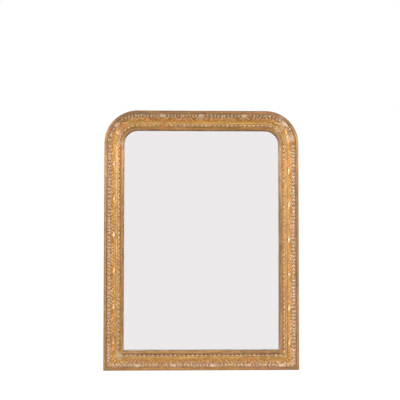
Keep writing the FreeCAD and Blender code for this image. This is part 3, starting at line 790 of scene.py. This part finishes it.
def straight_layout(layout, member, start, end):
    """Bosses on a side or fans on the bottom rail, with garlands between them and leaves in the
    mitred corners."""
    low_margin, high_margin, share, stops = {
        "left": (26, 2, 0.42, [88, 193, 303, 414, 525, 632]),
        "right": (2, 26, 0.6, [end - z for z in (610, 504, 398, 291, 187, 81)]),
        "bottom": (26, 26, 0.5, [HALF_WIDTH / MM - x for x in (245, 141, 34, -88, -197)]),
    }[member]
    for stop in stops:
        if member == "bottom":
            layout.fan(stop, 0.85)
        else:
            layout.boss(stop)
    edges = [start + low_margin, *stops, end - high_margin]
    for low, high in zip(edges, edges[1:]):
        if high - low >= 12:
            layout.stretch(low, low + share * (high - low), high, 50, 0)
    for corner, way in ((start, 1), (end, -1)):
        if member == ("right" if way > 0 else "left"):
            continue
        for inwards, off, size in ((17, 6, 10), (24, 5, 13), (31, 5, 10)):
            layout.leaf(corner + way * (inwards + off), inwards, 90 - way * 27, size, 5, 2)


def member_layout(member):
    """All leaves of one member's ornament. Distances are in millimetres."""
    sizes = settings("mirror_ornament")
    start, length = (value / MM for value in member_run(member, ORNAMENT_LINE))
    layout = Layout(MEMBERS.index(member) + 11, sizes.leaf_pitch / MM, sizes.stroke_pitch / MM)
    if member == "arch":
        arch_layout(layout, start, start + length)
    else:
        straight_layout(layout, member, start, start + length)
    return layout.object(f"{member}_layout")


NODES = {"left": "left_stile", "arch": "arch_rail", "right": "right_stile",
         "bottom": "bottom_rail"}


def placed(thing, node, angle):
    """Smooths a piece below an angle, and says which node it stands for and what carries it."""
    thing.data.polygons.foreach_set("use_smooth", [True] * len(thing.data.polygons))
    thing.data.set_sharp_from_angle(angle=math.radians(angle))
    body = next(body for body, nodes in frame["record"]["behaviour"]["bodies"].items()
                if node in nodes)
    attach(thing, body)
    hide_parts(node)


class MIRROR_OT_members(Operator):
    """Make the two stiles, the arched rail and the bottom rail, with their gilded front"""
    bl_idname = "mirror.members"
    bl_label = "Moulded Frame"

    def execute(self, context):
        tree = moulding_tree(bend_tree(), moulding_gilding())
        for member in MEMBERS:
            stock = blank(member, wood_section(), ORNAMENT_LINE)
            thing = modelled(stock, tree, f"moulding_{member}", line=float(ORNAMENT_LINE),
                             bottom=member == "bottom")
            placed(thing, NODES[member], 26)
        return {"FINISHED"}


class MIRROR_OT_ornament(Operator):
    """Make the cast leaves of the crest and cove"""
    bl_idname = "mirror.ornament"
    bl_label = "Cast Ornament"

    def execute(self, context):
        leaf = mesh_object("shape_leaf", *leaf_shape())
        tree = relief_tree(bend_tree(), ornament_gilding(), leaf)
        for member in MEMBERS:
            stock = blank(member, ornament_section(), ORNAMENT_LINE)
            layout = member_layout(member)
            thing = modelled(stock, tree, f"ornament_{member}", line=float(ORNAMENT_LINE),
                             bottom=member == "bottom", layout=layout)
            bpy.data.objects.remove(layout)
            placed(thing, f"{member}_ornament", 50)
        bpy.data.objects.remove(leaf)
        return {"FINISHED"}


class MIRROR_OT_pearls(Operator):
    """Make the course of pearls beside the sight edge"""
    bl_idname = "mirror.pearls"
    bl_label = "Pearl Course"

    def execute(self, context):
        sizes = settings("mirror_ornament")
        points, faces = drop_shape(12, 5)
        rise = PEARL_TOP - PEARL_FLOOR - MERGE
        pearl = mesh_object("shape_pearl", [
            (x * sizes.pearl_length, y * sizes.pearl_width, max(z, 0) * rise)
            for x, y, z in points], faces)
        tree = pearl_tree(bend_tree(), pearl_gilding(), pearl)
        pad = PEARL_LINE + sizes.corner_pad
        for member in MEMBERS:
            stock = blank(member, strip_section(), PEARL_LINE)
            start, length = member_run(member, PEARL_LINE)
            low = start + (pad if member in ("left", "bottom") else 0)
            high = start + length - (pad if member in ("right", "bottom") else 0)
            count = round((high - low) / sizes.pearl_pitch)
            pitch = (high - low) / count
            thing = modelled(stock, tree, f"pearls_{member}", line=float(PEARL_LINE),
                             bottom=member == "bottom", count=count, start=low + pitch / 2,
                             pitch=pitch)
            placed(thing, f"{member}_bead_strip", 50)
        bpy.data.objects.remove(pearl)
        return {"FINISHED"}


def new_material(name):
    """A material with its bench, its surface shader and its coordinates."""
    material = bpy.data.materials.new(name)
    material.use_nodes = True
    bench = Bench(material.node_tree)
    surface = next(node for node in bench.tree.nodes if node.type == "BSDF_PRINCIPLED")
    return material, bench, surface, bench.add("ShaderNodeTexCoord", output="Object")


def laid_out(bench):
    """The place in the flat layout before the bend, with its parts inwards and out."""
    lay = bench.add("ShaderNodeAttribute", {"attribute_name": "lay"}, output="Vector")
    split = bench.split(lay)
    return lay, split.output("Y"), split.output("Z")


def times(colour, *shares):
    """A colour times one share, or times a share for each of its parts."""
    return tuple(share * part for share, part in zip(shares * (3 // len(shares)), colour))


def speckled(bench, colour, place, size, depth, seed):
    """A colour with fine light and dark specks."""
    specks = bench.noise(place, size, seed, 2, 0.6)
    level = bench.ease(specks, 0.3, 0.7) * (2 * depth) + (1 - depth)
    return bench.tinted(colour, level, level, level)


# Soft blotches of another colour of the finish all over the gilding: the colour, the size in
# metres, the levels of noise between which a blotch starts, its strength and the noise's seed
BLOTCHES = (
    ("orange_gold", 0.034, 0.5, 0.66, 0.3, 1),
    ("olive_gold", 0.026, 0.52, 0.66, 0.35, 2),
    ("bole", 0.021, 0.55, 0.7, 0.3, 3),
)

# Places on the front where the finish is rubbed or thick: from left to right and up in
# millimetres, with a radius, a colour of the finish and a strength
WORN_SPOTS = (
    (-237, 752, 13, "orange_gold", 0.9),
    (-222, 759, 8, "olive_gold", 0.8),
    (-250, 695, 9, "gesso", 0.3),
    (245, 772, 9, "gesso", 0.5),
    (238, 742, 14, "gesso", 0.28),
    (-252, 727, 9, "gesso", 0.3),
    (269, 713, 15, "gesso", 0.3),
    (-266, 747, 9, "shade_gold", 0.5),
    (-252, 763, 13, "shade_gold", 0.75),
    (-236, 773, 11, "shade_gold", 0.55),
    (4, 788, 8, "bole", 0.6),
    (243, 59, 8, "bole", 0.75),
    (226, 51, 16, "dirt_and_shade", 0.19),
    (190, 50, 17, "dirt_and_shade", 0.19),
    (140, 49, 20, "dirt_and_shade", 0.2),
    (-208, 55, 15, "gesso", 0.14),
    (-119, 744, 15, "orange_gold", 0.35),
    (-270, 96, 13, "shade_gold", 0.5),
    (-252, 44, 11, "gesso", 0.5),
    (-4, 776, 10, "gesso", 0.45),
    (-252, 330, 12, "bole", 0.5),
    (-248, 470, 14, "bole", 0.45),
)


def worn(bench, colour, place):
    """A gilded colour with its patches of thick, thin and rubbed gold."""
    finish = settings("mirror_finish")
    for name, size, low, high, strength, seed in BLOTCHES:
        mask = bench.ease(bench.noise(place, size, seed), low, high) * strength
        colour = bench.blend(colour, getattr(finish, name), mask)
    colour = speckled(bench, colour, place, 0.011, 0.12, 5)
    across = bench.split(place)
    up = across.output("Z")
    ragged = bench.noise(place, 0.008, 4, 2)
    for x, z, radius, name, strength in WORN_SPOTS:
        beside, above = across - x * MM, up - z * MM
        reach = (beside * beside + above * above).math("SQRT") + ragged * (0.9 * radius * MM)
        mask = bench.fade(reach, radius * MM, 1.7 * radius * MM) * strength
        colour = bench.blend(colour, getattr(finish, name), mask)
    return colour


def painted_side_light(bench, colour, place, inwards):
    """A colour with painted light and shade that differ along the members and across the bands:
    the arch is painted darker, the rims of the right side darker than the left, and the bands
    of the sides lighter towards the arch, with tints that go with them."""
    across = bench.split(place)
    up = across.output("Z")
    top = bench.ease(up + inwards, *ARCH_SHADE)
    right = bench.ease(across, *SIDE_START)
    left = bench.ease(-across, *SIDE_START)
    low = bench.fade(up - inwards, *MITRE_EDGE)
    high = bench.ease(up, *UPPER_LIGHT)
    spring = bench.ease(up, *CORNER_START)
    corner = spring * bench.fade(up, *CORNER_END)
    middle = bench.ease(up, *LOWER_START) * (1 - high)
    outer = bench.fade(inwards, BAND, CREST + 2 * MM)
    inner = bench.ease(inwards, CAVETTO, SIGHT_BAND)
    past = bench.ease(inwards, COVE - 3 * MM, COVE + 3 * MM)
    cove = past * bench.fade(inwards, FILLET - 6 * MM, FILLET - 2 * MM)
    fillet = bench.band(inwards, FILLET - 4 * MM, FILLET, PEARL_BED, PEARL_BED + 2 * MM)
    crest = (1 - outer) * (1 - past)
    rim = bench.math("MAXIMUM", outer, inner)

    # Painted shade on the arch and on the rims of the sides, and painted light on the bands of the
    # sides towards the arch, as levels of the colour
    level = 1 - top * (0.11 + 0.18 * outer + 0.12 * inner)
    level = level * (1 - right * (0.27 * rim - 0.07))
    level = level * (1 - left * (0.2 * rim - 0.03)) * (1 - low * 0.04)
    lift = outer * (0.2 * high - 0.12 * middle)
    lift = lift + inner * (0.5 * high - 0.22 * middle - 0.28 * spring * left)
    lift = lift + fillet * ((high - spring) * (0.55 * left + 0.2 * right) - 0.14)
    lift = lift + cove * (0.08 + 0.12 * (high - spring) + 0.25 * corner)
    level = level * (1 + (left + right) * lift)
    level = level * (1 + crest * (0.07 * right + 0.1 * low - 0.1 * top) + low * inner * 0.12)
    # Painted shade low in the cove and painted light on the fillet, on the right side
    slope = bench.band(inwards, *COVE_FOOT)
    level = level * (1 + right * (0.1 * fillet - 0.26 * slope))

    # Tints that go with the painted light and shade
    pale = outer * right * bench.fade(up, *PALE_END)
    green = 0.05 * (pale + (left + right) * cove + right * fillet + low * inner) - 0.02 * top
    green = green + 0.04 * right * (cove + crest) + 0.1 * high * left * fillet
    blue = 0.34 * pale + top * (0.26 * outer - 0.14)
    blue = blue + right * (0.15 * (fillet + cove) + 0.08 * crest)
    blue = blue + high * (0.4 * left * fillet + 0.25 * (left + right) * inner)
    blue = blue - 0.2 * left * middle * inner
    return bench.tinted(colour, level, level * (1 + green), level * (1 + blue))


def metal_finish(bench, surface, colour, metal, rough, height, depth):
    """Sets the colour of a surface, how metallic and rough it is, and its bump."""
    raised = bench.add("ShaderNodeBump", None,
                       {"Height": height, "Distance": depth, "Strength": 0.6})
    bench.fill(surface, {"Base Color": colour, "Metallic": metal, "Roughness": rough,
                         "Specular IOR Level": 0.45, "Normal": raised})


def moulding_gilding():
    """Worn gilding on the plain bands of the moulding, with painted shade in its creases and a
    painted highlight on the wall beside the glass, and bare wood on its back.
    """
    finish = settings("mirror_finish")
    material, bench, surface, place = new_material("Gilded Moulding")
    lay, inwards, height = laid_out(bench)
    # Darker stops in the groove, in the cavetto and along the sight edge are painted shade in
    # those creases and hollows; dark is the painted shade along the sight edge
    dark, line = times(finish.shade_gold, 0.5), times(finish.shade_gold, 0.85)
    bands = (
        (0, times(finish.ochre, 1.08, 0.98, 0.7)), (3 * MM, finish.ochre),
        (BAND - 0.8 * MM, finish.ochre), (BAND, finish.shade_gold), (CREST, finish.ochre),
        (FILLET, finish.bright_gold), (PEARL_BED + 1 * MM, finish.bright_gold),
        (PEARL_LINE, finish.ochre), (CAVETTO - 1 * MM, line),
        (CAVETTO + 1 * MM, finish.shade_gold), (SIGHT_BAND - 0.6 * MM, finish.shade_gold),
        (SIGHT_BAND, line), (SIGHT_BAND + 0.6 * MM, finish.ochre),
        (SIGHT_BEVEL - 2 * MM, finish.ochre), (SIGHT_BEVEL - 1 * MM, dark), (SIGHT_EDGE, dark))
    wave = (bench.noise(place, 0.006, 6, 2) - 0.5) * (1.2 * MM)
    colour = bench.add(
        "ShaderNodeValToRGB",
        {"stops": [(min(spot / SIGHT_EDGE, 1), tone) for spot, tone in bands]},
        {0: (inwards + wave) / SIGHT_EDGE})
    # Painted light and shade that differ along the members
    colour = painted_side_light(bench, worn(bench, colour, place), place, inwards)

    across = bench.split(place)
    up = across.output("Z")
    # The wall beside the glass gets the painted highlight: pale gold on the sides, paler on the
    # bottom rail and on the right
    wall = bench.ease(inwards, SIGHT_EDGE - 0.8 * MM, SIGHT_EDGE - 0.3 * MM)
    wall = wall * bench.fade(up, SPRING, SPRING + 0.03)
    bright = wall * bench.fade(up - inwards, 0, 4 * MM)
    pale = bench.math("MAXIMUM", bright, bench.ease(across, *RIGHT_LIP))
    lip = bench.blend(times(finish.lip_highlight, 0.88, 0.74, 0.5), finish.lip_highlight, pale)
    colour = bench.blend(colour, lip, wall * 0.95)
    for stretch, size, depth, seed in ((0.15, 0.005, 0.16, 7), (0.05, 0.006, 0.16, 16)):
        along = bench.vectors("MULTIPLY", lay, (stretch, 1, 1))
        colour = speckled(bench, colour, along, size, depth, seed)
    streak = bench.noise(bench.vectors("MULTIPLY", lay, (0.12, 1, 1)), 0.0024, 8, rough=0.6)
    colour = bench.blend(colour, finish.dirt_and_shade, bench.ease(streak, 0.58, 0.78) * 0.5)

    grain = bench.noise(bench.vectors("MULTIPLY", lay, (0.05, 1, 1)), 0.003, 9, 4, 0.6)
    wood = bench.blend(finish.bare_wood, times(finish.bare_wood, 1.5),
                       bench.ease(grain, 0.35, 0.65))
    wood = speckled(bench, wood, place, 0.03, 0.16, 10)
    ragged = (bench.noise(place, 0.012, 11, rough=0.6) - 0.5) * (5 * MM)
    back = bench.fade(height + ragged, 2 * MM, 4 * MM)
    inside = bench.ease(inwards, BOARD_WALL - 0.8 * MM, BOARD_WALL - 0.2 * MM)
    bare = bench.math("MAXIMUM", back, inside * bench.fade(height, LIP, LIP + 0.4 * MM))
    colour = bench.blend(colour, wood, bare)
    rough = 0.36 + 0.25 * bench.noise(place, 0.007, 12) + bare * 0.3 - bright * 0.3
    shine = 0.5 * bright + 0.3 + 0.25 * bench.ease(bench.noise(place, 0.012, 13), 0.35, 0.7)
    metal = (1 - bare) * (1 - wall + bright) * shine
    fine = bench.noise(place, 0.0011, 14, rough=0.6) * 0.6 + grain * bare + streak * 0.4
    metal_finish(bench, surface, colour, metal, rough, fine, 0.35 * MM)
    return material


def ornament_gilding():
    """Gilding of the cast ornament: painted shade between the leaves, gold in the cove, rubbed on
    top, with a painted highlight on the tall leaves of the cove.
    """
    finish = settings("mirror_finish")
    material, bench, surface, place = new_material("Gilded Ornament")
    _, inwards, _ = laid_out(bench)
    relief = bench.add("ShaderNodeAttribute", {"attribute_name": "relief"}, output="Fac")
    across = bench.split(place)
    cove = bench.ease(inwards, COVE - 2 * MM, COVE + 3 * MM)
    # On the bottom rail the crest is blended towards one colour to offset the light and shade that
    # fall on its relief there
    bottom_light_offset = bench.fade(across.output("Z") - inwards, *MITRE_EDGE) * (1 - cove) * 0.4
    edge = times(finish.silvered, 1.02, 0.99, 0.88)

    # The ground between the leaves is painted shade: dark on the crest, and darker near the crest
    # in the cove; the pale tops of the crest are rubbed
    side = bench.ease((inwards - CREST_LINE).math("ABSOLUTE"), 3.4 * MM, 5.4 * MM)
    between = bench.blend(times(finish.gold, 0.84, 0.72, 0.62), times(finish.gold, 0.85),
                          bench.ease(inwards, COVE + 7 * MM, COVE + 11.5 * MM))
    ground = bench.blend(bench.blend(times(finish.shade_gold, 0.66), edge, side), between, cove)
    ground = bench.blend(ground, edge, bottom_light_offset)
    crown = bench.blend(times(finish.silvered, 1.27, 1.34, 1.52), edge, bottom_light_offset)
    # The tops of the leaves in the cove take part of the painted highlight
    raised = tuple(0.9 * bright + 0.42 * pale
                   for bright, pale in zip(finish.gold, finish.leaf_highlight))
    top = bench.blend(crown, raised, cove)
    colour = worn(bench, bench.blend(ground, top, bench.ease(relief, 0.2 * MM, 1.4 * MM)), place)
    rub = bench.ease(relief, 0.86 * MM, 1.61 * MM)
    chance = bench.ease(bench.noise(place, 0.016, 21, rough=0.6), 0.4, 0.62)
    colour = bench.blend(colour, finish.gesso, rub * chance * 0.62)
    # Painted light and shade that differ along the members
    colour = painted_side_light(bench, colour, place, inwards)

    # A painted highlight on the tallest leaves in the cove of the sides
    sides = bench.ease(across.math("ABSOLUTE"), *SIDE_COVE)
    boss_highlight = bench.ease(relief, 2.3 * MM, 3.4 * MM) * cove * sides
    colour = bench.blend(colour, finish.leaf_highlight, boss_highlight * 0.5)
    colour = speckled(bench, colour, place, 0.0055, 0.26, 22)
    # Dirt and painted shade in patches in the hollows between the leaves
    dirt = bench.ease(bench.noise(place, 0.0045, 23, rough=0.6), 0.55, 0.72)
    recess_shade = bench.fade(relief, 0.4 * MM, 1.3 * MM)
    colour = bench.blend(colour, finish.dirt_and_shade, dirt * recess_shade * 0.6)
    rough = 0.34 + 0.25 * bench.noise(place, 0.006, 24)
    metal = 0.3 + 0.3 * bench.ease(bench.noise(place, 0.012, 25), 0.35, 0.7)
    fine = bench.noise(place, 0.0013, 26, rough=0.6) + bench.noise(place, 0.004, 27, 2)
    metal_finish(bench, surface, colour, metal, rough, fine, 0.4 * MM)
    return material


def pearl_gilding():
    """Gilding of the pearls, rubbed pale on top, with painted shadow round their feet on the inner
    side.
    """
    finish = settings("mirror_finish")
    material, bench, surface, place = new_material("Gilded Pearls")
    _, inwards, out = laid_out(bench)
    height = out - PEARL_FLOOR
    below = bench.fade(bench.split(place).output("Z") - inwards, 0, 4 * MM)
    # Painted shadow on the inner side of the pearls, less on the flat beyond them, more on the
    # bottom rail
    unshaded = bench.ease(inwards, PEARL_LINE + 2.2 * MM, PEARL_LINE + 3 * MM) * (0.6 - 0.5 * below)
    inner = bench.ease(inwards, PEARL_LINE - 1.5 * MM, PEARL_LINE + 1 * MM) * (1 - unshaded)
    foot = bench.blend(finish.bright_gold, finish.dirt_and_shade, inner * (0.85 + 0.1 * below))
    colour = bench.blend(foot, times(finish.silvered, 1.24, 1.3, 1.26),
                         bench.ease(height, 1.5 * MM, 2.4 * MM))
    # Painted light and shade that differ along the members
    colour = painted_side_light(bench, worn(bench, colour, place), place, inwards)
    rub = bench.ease(height, 2.4 * MM, 4.2 * MM)
    chance = bench.ease(bench.noise(place, 0.018, 31, rough=0.6), 0.36, 0.6)
    colour = bench.blend(colour, finish.gesso, rub * chance * 0.5)
    colour = speckled(bench, colour, place, 0.0055, 0.24, 32)
    rough = 0.36 + 0.22 * bench.noise(place, 0.006, 33)
    metal = 0.28 + 0.25 * bench.noise(place, 0.012, 34)
    fine = bench.noise(place, 0.0014, 35, rough=0.6)
    metal_finish(bench, surface, colour, metal, rough, fine, 0.3 * MM)
    return material


def painted(material, *nodes):
    """Gives CAD nodes a material."""
    for node in nodes:
        thing = frame["nodes"][node]
        if not thing.material_slots:
            thing.data.materials.append(material)
        for slot in thing.material_slots:
            slot.material = material


def arched_outline(inset):
    """Points of a sheet that is square below and rounded above, this far inside the frame."""
    reach = RADIUS - inset
    left = arc_steps((-ARCH_X, SPRING), reach, math.pi, math.pi / 2, 24)
    right = arc_steps((ARCH_X, SPRING), reach, math.pi / 2, 0, 24)
    low = HALF_WIDTH - inset
    return [(-low, inset), *left, *right, (low, inset)]


class MIRROR_OT_glass(Operator):
    """Finish the glass and its silvering"""
    bl_idname = "mirror.glass"
    bl_label = "Glass and Silvering"

    def execute(self, context):
        material, bench, surface, place = new_material("Mirror Glass")
        colour = bench.blend((0.97, 0.985, 0.98), (0.99, 0.99, 0.99),
                             bench.noise(place, 0.25, 41, 2))
        smear = bench.ease(bench.noise(place, 0.05, 42, 4, 0.6), 0.6, 0.85) * 0.012
        bench.fill(surface, {"Base Color": colour, "Roughness": smear,
                             "Transmission Weight": 1, "IOR": 1.5})
        inset = GLASS_WALL + 1 * MM
        back = -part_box("silver_backing")[0].y + SILVER_GAP
        seam = 0.6 * MM
        levels = ((inset + seam, back), (inset, back + seam), (inset, LIP - seam),
                  (inset + seam, LIP))
        rings = [[(x, -out, z) for x, z in arched_outline(edge)] for edge, out in levels]
        sheet = mesh_object("glass_sheet", *swept(rings))
        sheet.data.materials.append(material)
        placed(sheet, "mirror_glass", 20)

        silver, bench, surface, place = new_material("Silvering")
        spots = bench.ease(bench.noise(place, 0.004, 43, 4, 0.7), 0.7, 0.8)
        low = bench.fade(bench.split(place).output("Z"), SIGHT_EDGE, SIGHT_EDGE + 0.03)
        aged = spots * low * 0.25
        shown = bench.blend((0.981, 0.939, 0.954), (0.55, 0.5, 0.45), aged)
        bench.fill(surface, {"Base Color": shown, "Roughness": aged * 0.3 + 0.004,
                             "Metallic": 1})
        painted(silver, "silver_backing")
        return {"FINISHED"}


def wooden(name, along, tone, seed):
    """Sawn softwood. Its pattern is stretched by a share of its size on each axis."""
    finish = settings("mirror_finish")
    material, bench, surface, place = new_material(name)
    stretched = bench.vectors("MULTIPLY", place, along)
    rings = bench.noise(stretched, 0.012, seed, 4, 0.6)
    grain = bench.noise(stretched, 0.0025, seed + 1, rough=0.6)
    dark, pale = times(finish.bare_wood, tone), times(finish.bare_wood, 1.55 * tone)
    colour = bench.blend(dark, pale, bench.ease(rings, 0.35, 0.65))
    colour = bench.blend(colour, times(dark, 0.55), bench.ease(grain, 0.55, 0.75) * 0.5)
    stain = bench.ease(bench.noise(place, 0.09, seed + 2), 0.5, 0.7)
    colour = bench.blend(colour, finish.dirt_and_shade, stain * 0.3)
    colour = speckled(bench, colour, place, 0.004, 0.12, seed + 3)
    rough = 0.62 + 0.2 * bench.noise(place, 0.02, seed + 4, 2)
    raised = bench.add(
        "ShaderNodeBump", None,
        {"Height": rings * 0.4 + grain * 0.6, "Distance": 0.5 * MM, "Strength": 0.5})
    bench.fill(surface, {"Base Color": colour, "Roughness": rough, "Normal": raised})
    return material


class MIRROR_OT_back(Operator):
    """Finish the planks, blocks, keys and brads of the back"""
    bl_idname = "mirror.back"
    bl_label = "Back"

    def execute(self, context):
        for name, tone, seed in (("lower", 0.72, 50), ("middle", 1.02, 57), ("upper", 0.86, 64)):
            plank = wooden(f"Plank {name}", (0.04, 1, 1), tone, seed)
            painted(plank, f"{name}_back_board")
        small = wooden("Small Softwood", (0.2, 1, 0.2), 1.15, 72)
        painted(small, "glass_blocks", "arch_tenons", "mitre_splines")
        material, bench, surface, place = new_material("Forged Iron")
        rust = bench.ease(bench.noise(place, 0.002, 81, 4, 0.6), 0.45, 0.65)
        colour = bench.blend(settings("mirror_finish").iron, (0.2, 0.075, 0.03), rust * 0.7)
        metal_finish(bench, surface, colour, 0.8 - 0.5 * rust, 0.5 + 0.3 * rust,
                     bench.noise(place, 0.001, 82, rough=0.6), 0.2 * MM)
        painted(material, "back_board_nails")
        return {"FINISHED"}


class MIRROR_OT_hangers(Operator):
    """Finish the two ring hangers and their screws"""
    bl_idname = "mirror.hangers"
    bl_label = "Ring Hangers"

    def execute(self, context):
        brass = settings("mirror_finish").brass
        material, bench, surface, place = new_material("Dulled Brass")
        dull = bench.ease(bench.noise(place, 0.006, 91, 4, 0.6), 0.4, 0.65)
        colour = bench.blend(brass, times(brass, 0.45), dull)
        scratches = bench.noise(bench.vectors("MULTIPLY", place, (1, 1, 0.1)), 0.0008, 92,
                                rough=0.6)
        metal_finish(bench, surface, colour, 0.95 - 0.3 * dull, 0.28 + 0.25 * dull, scratches,
                     0.08 * MM)
        painted(material, "left_hanger_strap", "right_hanger_strap", "left_hanger_ring",
                "right_hanger_ring", "hanger_screws")
        return {"FINISHED"}


def background(tree, seen_white, camera_white=1):
    """White for the camera, near white in reflections. Gives the bench, the camera's share of
    rays, the mirrored share and the level that they see."""
    tree.nodes.clear()
    bench = Bench(tree)
    rays = bench.add("ShaderNodeLightPath", output="Is Camera Ray")
    mirrored = bench.math("MAXIMUM", rays.output("Is Glossy Ray"),
                          rays.output("Is Transmission Ray"))
    level = rays * (camera_white - seen_white) + seen_white
    return bench, rays, mirrored, level


def lamp(name, place, size, power, colour):
    """A large soft lamp that shines on the middle of the mirror."""
    light = bpy.data.lights.new(name, "AREA")
    light.shape = "RECTANGLE"
    light.size, light.size_y = size
    light.energy = power
    light.color = colour
    thing = in_scene(name, light)
    thing.location = place
    aim = Vector((0, 0, 0.4)) - Vector(place)
    thing.rotation_euler = aim.to_track_quat("-Z", "Y").to_euler()


class MIRROR_OT_studio(Operator):
    """Set up the camera, the pale floor and the soft light"""
    bl_idname = "mirror.studio"
    bl_label = "Studio"

    def execute(self, context):
        studio = settings("mirror_studio")
        camera = bpy.data.cameras.new("Camera")
        camera.lens = studio.lens
        camera.sensor_width = 36
        camera.dof.use_dof = False
        eye = in_scene("Camera", camera)
        turn, tilt, roll = studio.turn, studio.tilt, studio.roll
        ahead = Vector((math.sin(turn) * math.cos(tilt), math.cos(turn) * math.cos(tilt),
                        math.sin(tilt)))
        level = Vector((math.cos(turn), -math.sin(turn), 0))
        upright = level.cross(ahead)
        right = level * math.cos(roll) + upright * math.sin(roll)
        above = upright * math.cos(roll) - level * math.sin(roll)
        place = Matrix.Translation((studio.camera_x, -studio.distance, studio.camera_z))
        eye.matrix_world = place @ Matrix((right, above, -ahead)).transposed().to_4x4()
        context.scene.camera = eye

        side = 12
        corners = [(-side, -side, 0), (side, -side, 0), (side, side, 0), (-side, side, 0)]
        floor = mesh_object("floor", corners, [(0, 1, 2, 3)])
        paper = bpy.data.materials.new("Studio Paper")
        paper.use_nodes = True
        bench, rays, mirrored, level = background(paper.node_tree, studio.floor_white, 1.06)
        where = bench.add("ShaderNodeTexCoord", output="Object")
        tooth = bench.noise(where, 0.004, 95, 2) * 0.01 + 0.85
        matt = bench.add("ShaderNodeBsdfDiffuse", None,
                         {"Color": bench.vector(tooth, tooth, tooth)})
        glow = bench.add("ShaderNodeEmission", None, {"Strength": level})
        mixed = bench.add("ShaderNodeMixShader", None,
                          {0: rays * 0.94 + mirrored * 0.99, 1: matt, 2: glow})
        bench.add("ShaderNodeOutputMaterial", None, {"Surface": mixed}, output=None)
        floor.data.materials.append(paper)

        world = bpy.data.worlds.new("Studio")
        world.use_nodes = True
        bench, rays, mirrored, level = background(world.node_tree, studio.seen_white)
        seen = bench.math("MAXIMUM", rays, mirrored)
        sky = bench.add("ShaderNodeBackground", None,
                        {"Color": (1, 1, 1), "Strength": seen * level + (1 - seen) * studio.sky})
        bench.add("ShaderNodeOutputWorld", None, {"Surface": sky}, output=None)
        context.scene.world = world
        lamp("key", (-1.8, -3, 0.5), (1.4, 1.2), studio.key_power, (1, 0.985, 0.955))
        lamp("fill", (1.8, -3, 0.5), (1.4, 1.2), studio.fill_power, (1, 0.985, 0.955))
        for way in (-1, 1):
            lamp(f"back_{way + 1}", (way * 2.4, 2.2, 1), (1.2, 1.2), studio.back_power, (1, 1, 1))
        context.scene.view_settings.view_transform = "Standard"
        return {"FINISHED"}


STEPS = (MIRROR_OT_studio, MIRROR_OT_members, MIRROR_OT_ornament, MIRROR_OT_pearls,
         MIRROR_OT_glass, MIRROR_OT_back, MIRROR_OT_hangers)
GROUPS = {"mirror_ornament": MirrorOrnament, "mirror_finish": MirrorFinish,
          "mirror_studio": MirrorStudio}


class MIRROR_PT_panel(Panel):
    """Lists the steps that make the mirror, with their sizes and colours"""
    bl_label = "Arched Gilt Mirror"
    bl_idname = "MIRROR_PT_panel"
    bl_space_type = "VIEW_3D"
    bl_region_type = "UI"
    bl_category = "Mirror"

    def draw(self, context):
        for kind in GROUPS:
            group = getattr(context.scene, kind)
            box = self.layout.box()
            for name in group.__annotations__:
                box.prop(group, name)
        for step in STEPS:
            self.layout.operator(step.bl_idname)


def register():
    for kind, group in GROUPS.items():
        bpy.utils.register_class(group)
        setattr(bpy.types.Scene, kind, PointerProperty(type=group))
    for item in (*STEPS, MIRROR_PT_panel):
        bpy.utils.register_class(item)


def unregister():
    for item in (MIRROR_PT_panel, *STEPS[::-1]):
        bpy.utils.unregister_class(item)
    for kind, group in GROUPS.items():
        delattr(bpy.types.Scene, kind)
        bpy.utils.unregister_class(group)


def main():
    register()
    for step in STEPS:
        family, name = step.bl_idname.split(".")
        getattr(getattr(bpy.ops, family), name)()


if __name__ == "__main__":
    main()
